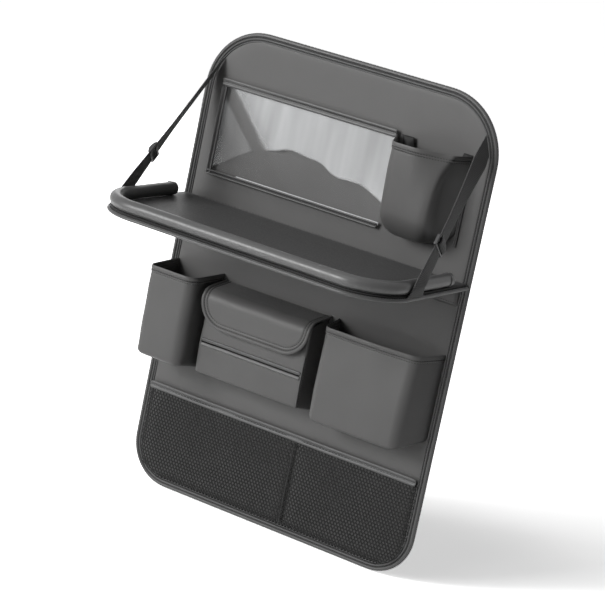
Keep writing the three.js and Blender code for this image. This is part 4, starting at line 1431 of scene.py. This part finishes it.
def make_floor():
    """A floor that shows white to the background's rays but keeps the shadow."""
    mesh = bmesh.new()
    bmesh.ops.create_grid(mesh, x_segments=1, y_segments=1, size=FLOOR_REACH)
    bmesh.ops.translate(mesh, verts=mesh.verts, vec=(0, 0, FLOOR_HEIGHT))
    data = bpy.data.meshes.new("floor")
    mesh.to_mesh(data)
    mesh.free()
    material, tree, shader = new_material("pale_floor", colours().ground, 0.9)
    lit = tree.nodes.new("ShaderNodeBsdfDiffuse")
    lit.inputs["Color"].default_value = (*[FLOOR_LIT_COLOUR] * 3, 1)
    glow = tree.nodes.new("ShaderNodeEmission")
    seen = mixed(tree, glow.outputs["Emission"], lit.outputs["BSDF"])
    seen.inputs["Fac"].default_value = FLOOR_LIT_SHARE
    whole = mixed(tree, shader.outputs["BSDF"], seen.outputs["Shader"])
    tree.links.new(background_rays(tree), whole.inputs["Fac"])
    tree.links.new(whole.outputs["Shader"], tree.nodes["Material Output"].inputs["Surface"])
    data.materials.append(material)
    in_scene("floor", data)


def mixed(tree, first, second):
    node = tree.nodes.new("ShaderNodeMixShader")
    tree.links.new(first, node.inputs[1])
    tree.links.new(second, node.inputs[2])
    return node


def make_world():
    """Dim soft light all round, and white for the background's rays."""
    world = bpy.data.worlds.new("studio")
    world.use_nodes = True
    tree = world.node_tree
    background = tree.nodes["Background"]
    background.inputs["Color"].default_value = (1, 1, 1, 1)
    level = ranged(tree, background_rays(tree), 0, 1, WORLD_LEVEL, 1.0)
    tree.links.new(level, background.inputs["Strength"])
    bpy.context.scene.world = world


def make_lights():
    """A key from the front left, a strip above, a light behind and an even light over all."""
    for name, (place, target, size, power) in AREA_LIGHTS.items():
        data = bpy.data.lights.new(name, "AREA")
        data.shape = "RECTANGLE"
        data.size, data.size_y = size
        data.energy = power
        lamp = in_scene(name, data)
        lamp.location = place
        lamp.rotation_euler = turned_along(Vector(target) - Vector(place))
    data = bpy.data.lights.new("even_light", "SUN")
    data.energy = SUN_STRENGTH
    data.angle = SUN_ANGLE
    in_scene("even_light", data).rotation_euler = turned_along(Vector(SUN_WAY))


def turned_along(way):
    return way.to_track_quat("-Z", "Y").to_euler()


def make_camera():
    """The photograph's viewpoint, from a fit of the panel's outline."""
    data = bpy.data.cameras.new("camera")
    data.lens = CAMERA_LENS
    data.sensor_width = 36
    back = -Vector(CAMERA_WAY).normalized()
    up = back.cross(Vector(CAMERA_RIGHT).normalized()).normalized()
    right = up.cross(back).normalized()
    turn = Matrix((right, up, back)).transposed().to_4x4()
    camera = in_scene("camera", data)
    camera.matrix_world = Matrix.Translation(CAMERA_PLACE) @ turn
    bpy.context.scene.camera = camera
    bpy.context.scene.view_settings.view_transform = "Standard"


# Operators, one for each piece or group of like pieces and one for the stage

class Maker:
    """What the operators share: each runs its makers in turn."""

    def execute(self, context):
        for make in self.makers:
            make()
        return {"FINISHED"}


class ORGANIZER_OT_panel(Maker, bpy.types.Operator):
    """Build the padded panel, its binding and its stitching."""

    bl_idname = "organizer.panel"
    bl_label = "Panel and binding"
    makers = (make_panel, make_binding)


class ORGANIZER_OT_back(Maker, bpy.types.Operator):
    """Build the lining and the two flat straps on the back."""

    bl_idname = "organizer.back"
    bl_label = "Back lining and straps"
    makers = (make_back,)


class ORGANIZER_OT_window(Maker, bpy.types.Operator):
    """Build the clear window pocket and its folded trims."""

    bl_idname = "organizer.window"
    bl_label = "Window pocket"
    makers = (make_window,)


class ORGANIZER_OT_pockets(Maker, bpy.types.Operator):
    """Build the three open pockets with their hems."""

    bl_idname = "organizer.pockets"
    bl_label = "Open pockets"
    makers = (make_pockets,)


class ORGANIZER_OT_tissue(Maker, bpy.types.Operator):
    """Build the tissue pouch, its slot and its cover flap."""

    bl_idname = "organizer.tissue"
    bl_label = "Tissue pouch"
    makers = (make_tissue_pouch, make_flap)


class ORGANIZER_OT_net(Maker, bpy.types.Operator):
    """Build the net pocket with its binding and middle seam."""

    bl_idname = "organizer.net"
    bl_label = "Net pocket"
    makers = (make_net,)


class ORGANIZER_OT_tray(Maker, bpy.types.Operator):
    """Build the fold-down tray with its roll, piping and hinge cloth."""

    bl_idname = "organizer.tray"
    bl_label = "Tray"
    makers = (make_tray_board, make_tray_roll, make_tray_piping, make_hinge_flap)


class ORGANIZER_OT_straps(Maker, bpy.types.Operator):
    """Build the tray's two webbing straps and their adjusters."""

    bl_idname = "organizer.straps"
    bl_label = "Tray straps"
    makers = (make_straps,)


class ORGANIZER_OT_stage(Maker, bpy.types.Operator):
    """Set up the floor, the lights and the camera."""

    bl_idname = "organizer.stage"
    bl_label = "Stage"
    makers = (make_floor, make_world, make_lights, make_camera)


class ORGANIZER_PT_panel(bpy.types.Panel):
    """Lists the organizer's sizes, colours and pieces."""

    bl_label = "Organizer"
    bl_idname = "ORGANIZER_PT_panel"
    bl_space_type = "VIEW_3D"
    bl_region_type = "UI"
    bl_category = "Organizer"

    def draw(self, context):
        for group in (context.scene.organizer_sizes, context.scene.organizer_colours):
            for name in group.__annotations__:
                self.layout.prop(group, name)
        for operator in OPERATORS:
            self.layout.operator(operator.bl_idname)


OPERATORS = (
    ORGANIZER_OT_panel, ORGANIZER_OT_back, ORGANIZER_OT_window, ORGANIZER_OT_pockets,
    ORGANIZER_OT_tissue, ORGANIZER_OT_net, ORGANIZER_OT_tray, ORGANIZER_OT_straps,
    ORGANIZER_OT_stage,
)
CLASSES = (OrganizerSizes, OrganizerColours, *OPERATORS, ORGANIZER_PT_panel)


def register():
    for each in CLASSES:
        bpy.utils.register_class(each)
    bpy.types.Scene.organizer_sizes = PointerProperty(type=OrganizerSizes)
    bpy.types.Scene.organizer_colours = PointerProperty(type=OrganizerColours)


def unregister():
    del bpy.types.Scene.organizer_sizes
    del bpy.types.Scene.organizer_colours
    for each in reversed(CLASSES):
        bpy.utils.unregister_class(each)


def main():
    register()
    for operator in OPERATORS:
        group, name = operator.bl_idname.split(".")
        getattr(getattr(bpy.ops, group), name)()


if __name__ == "__main__":
    main()
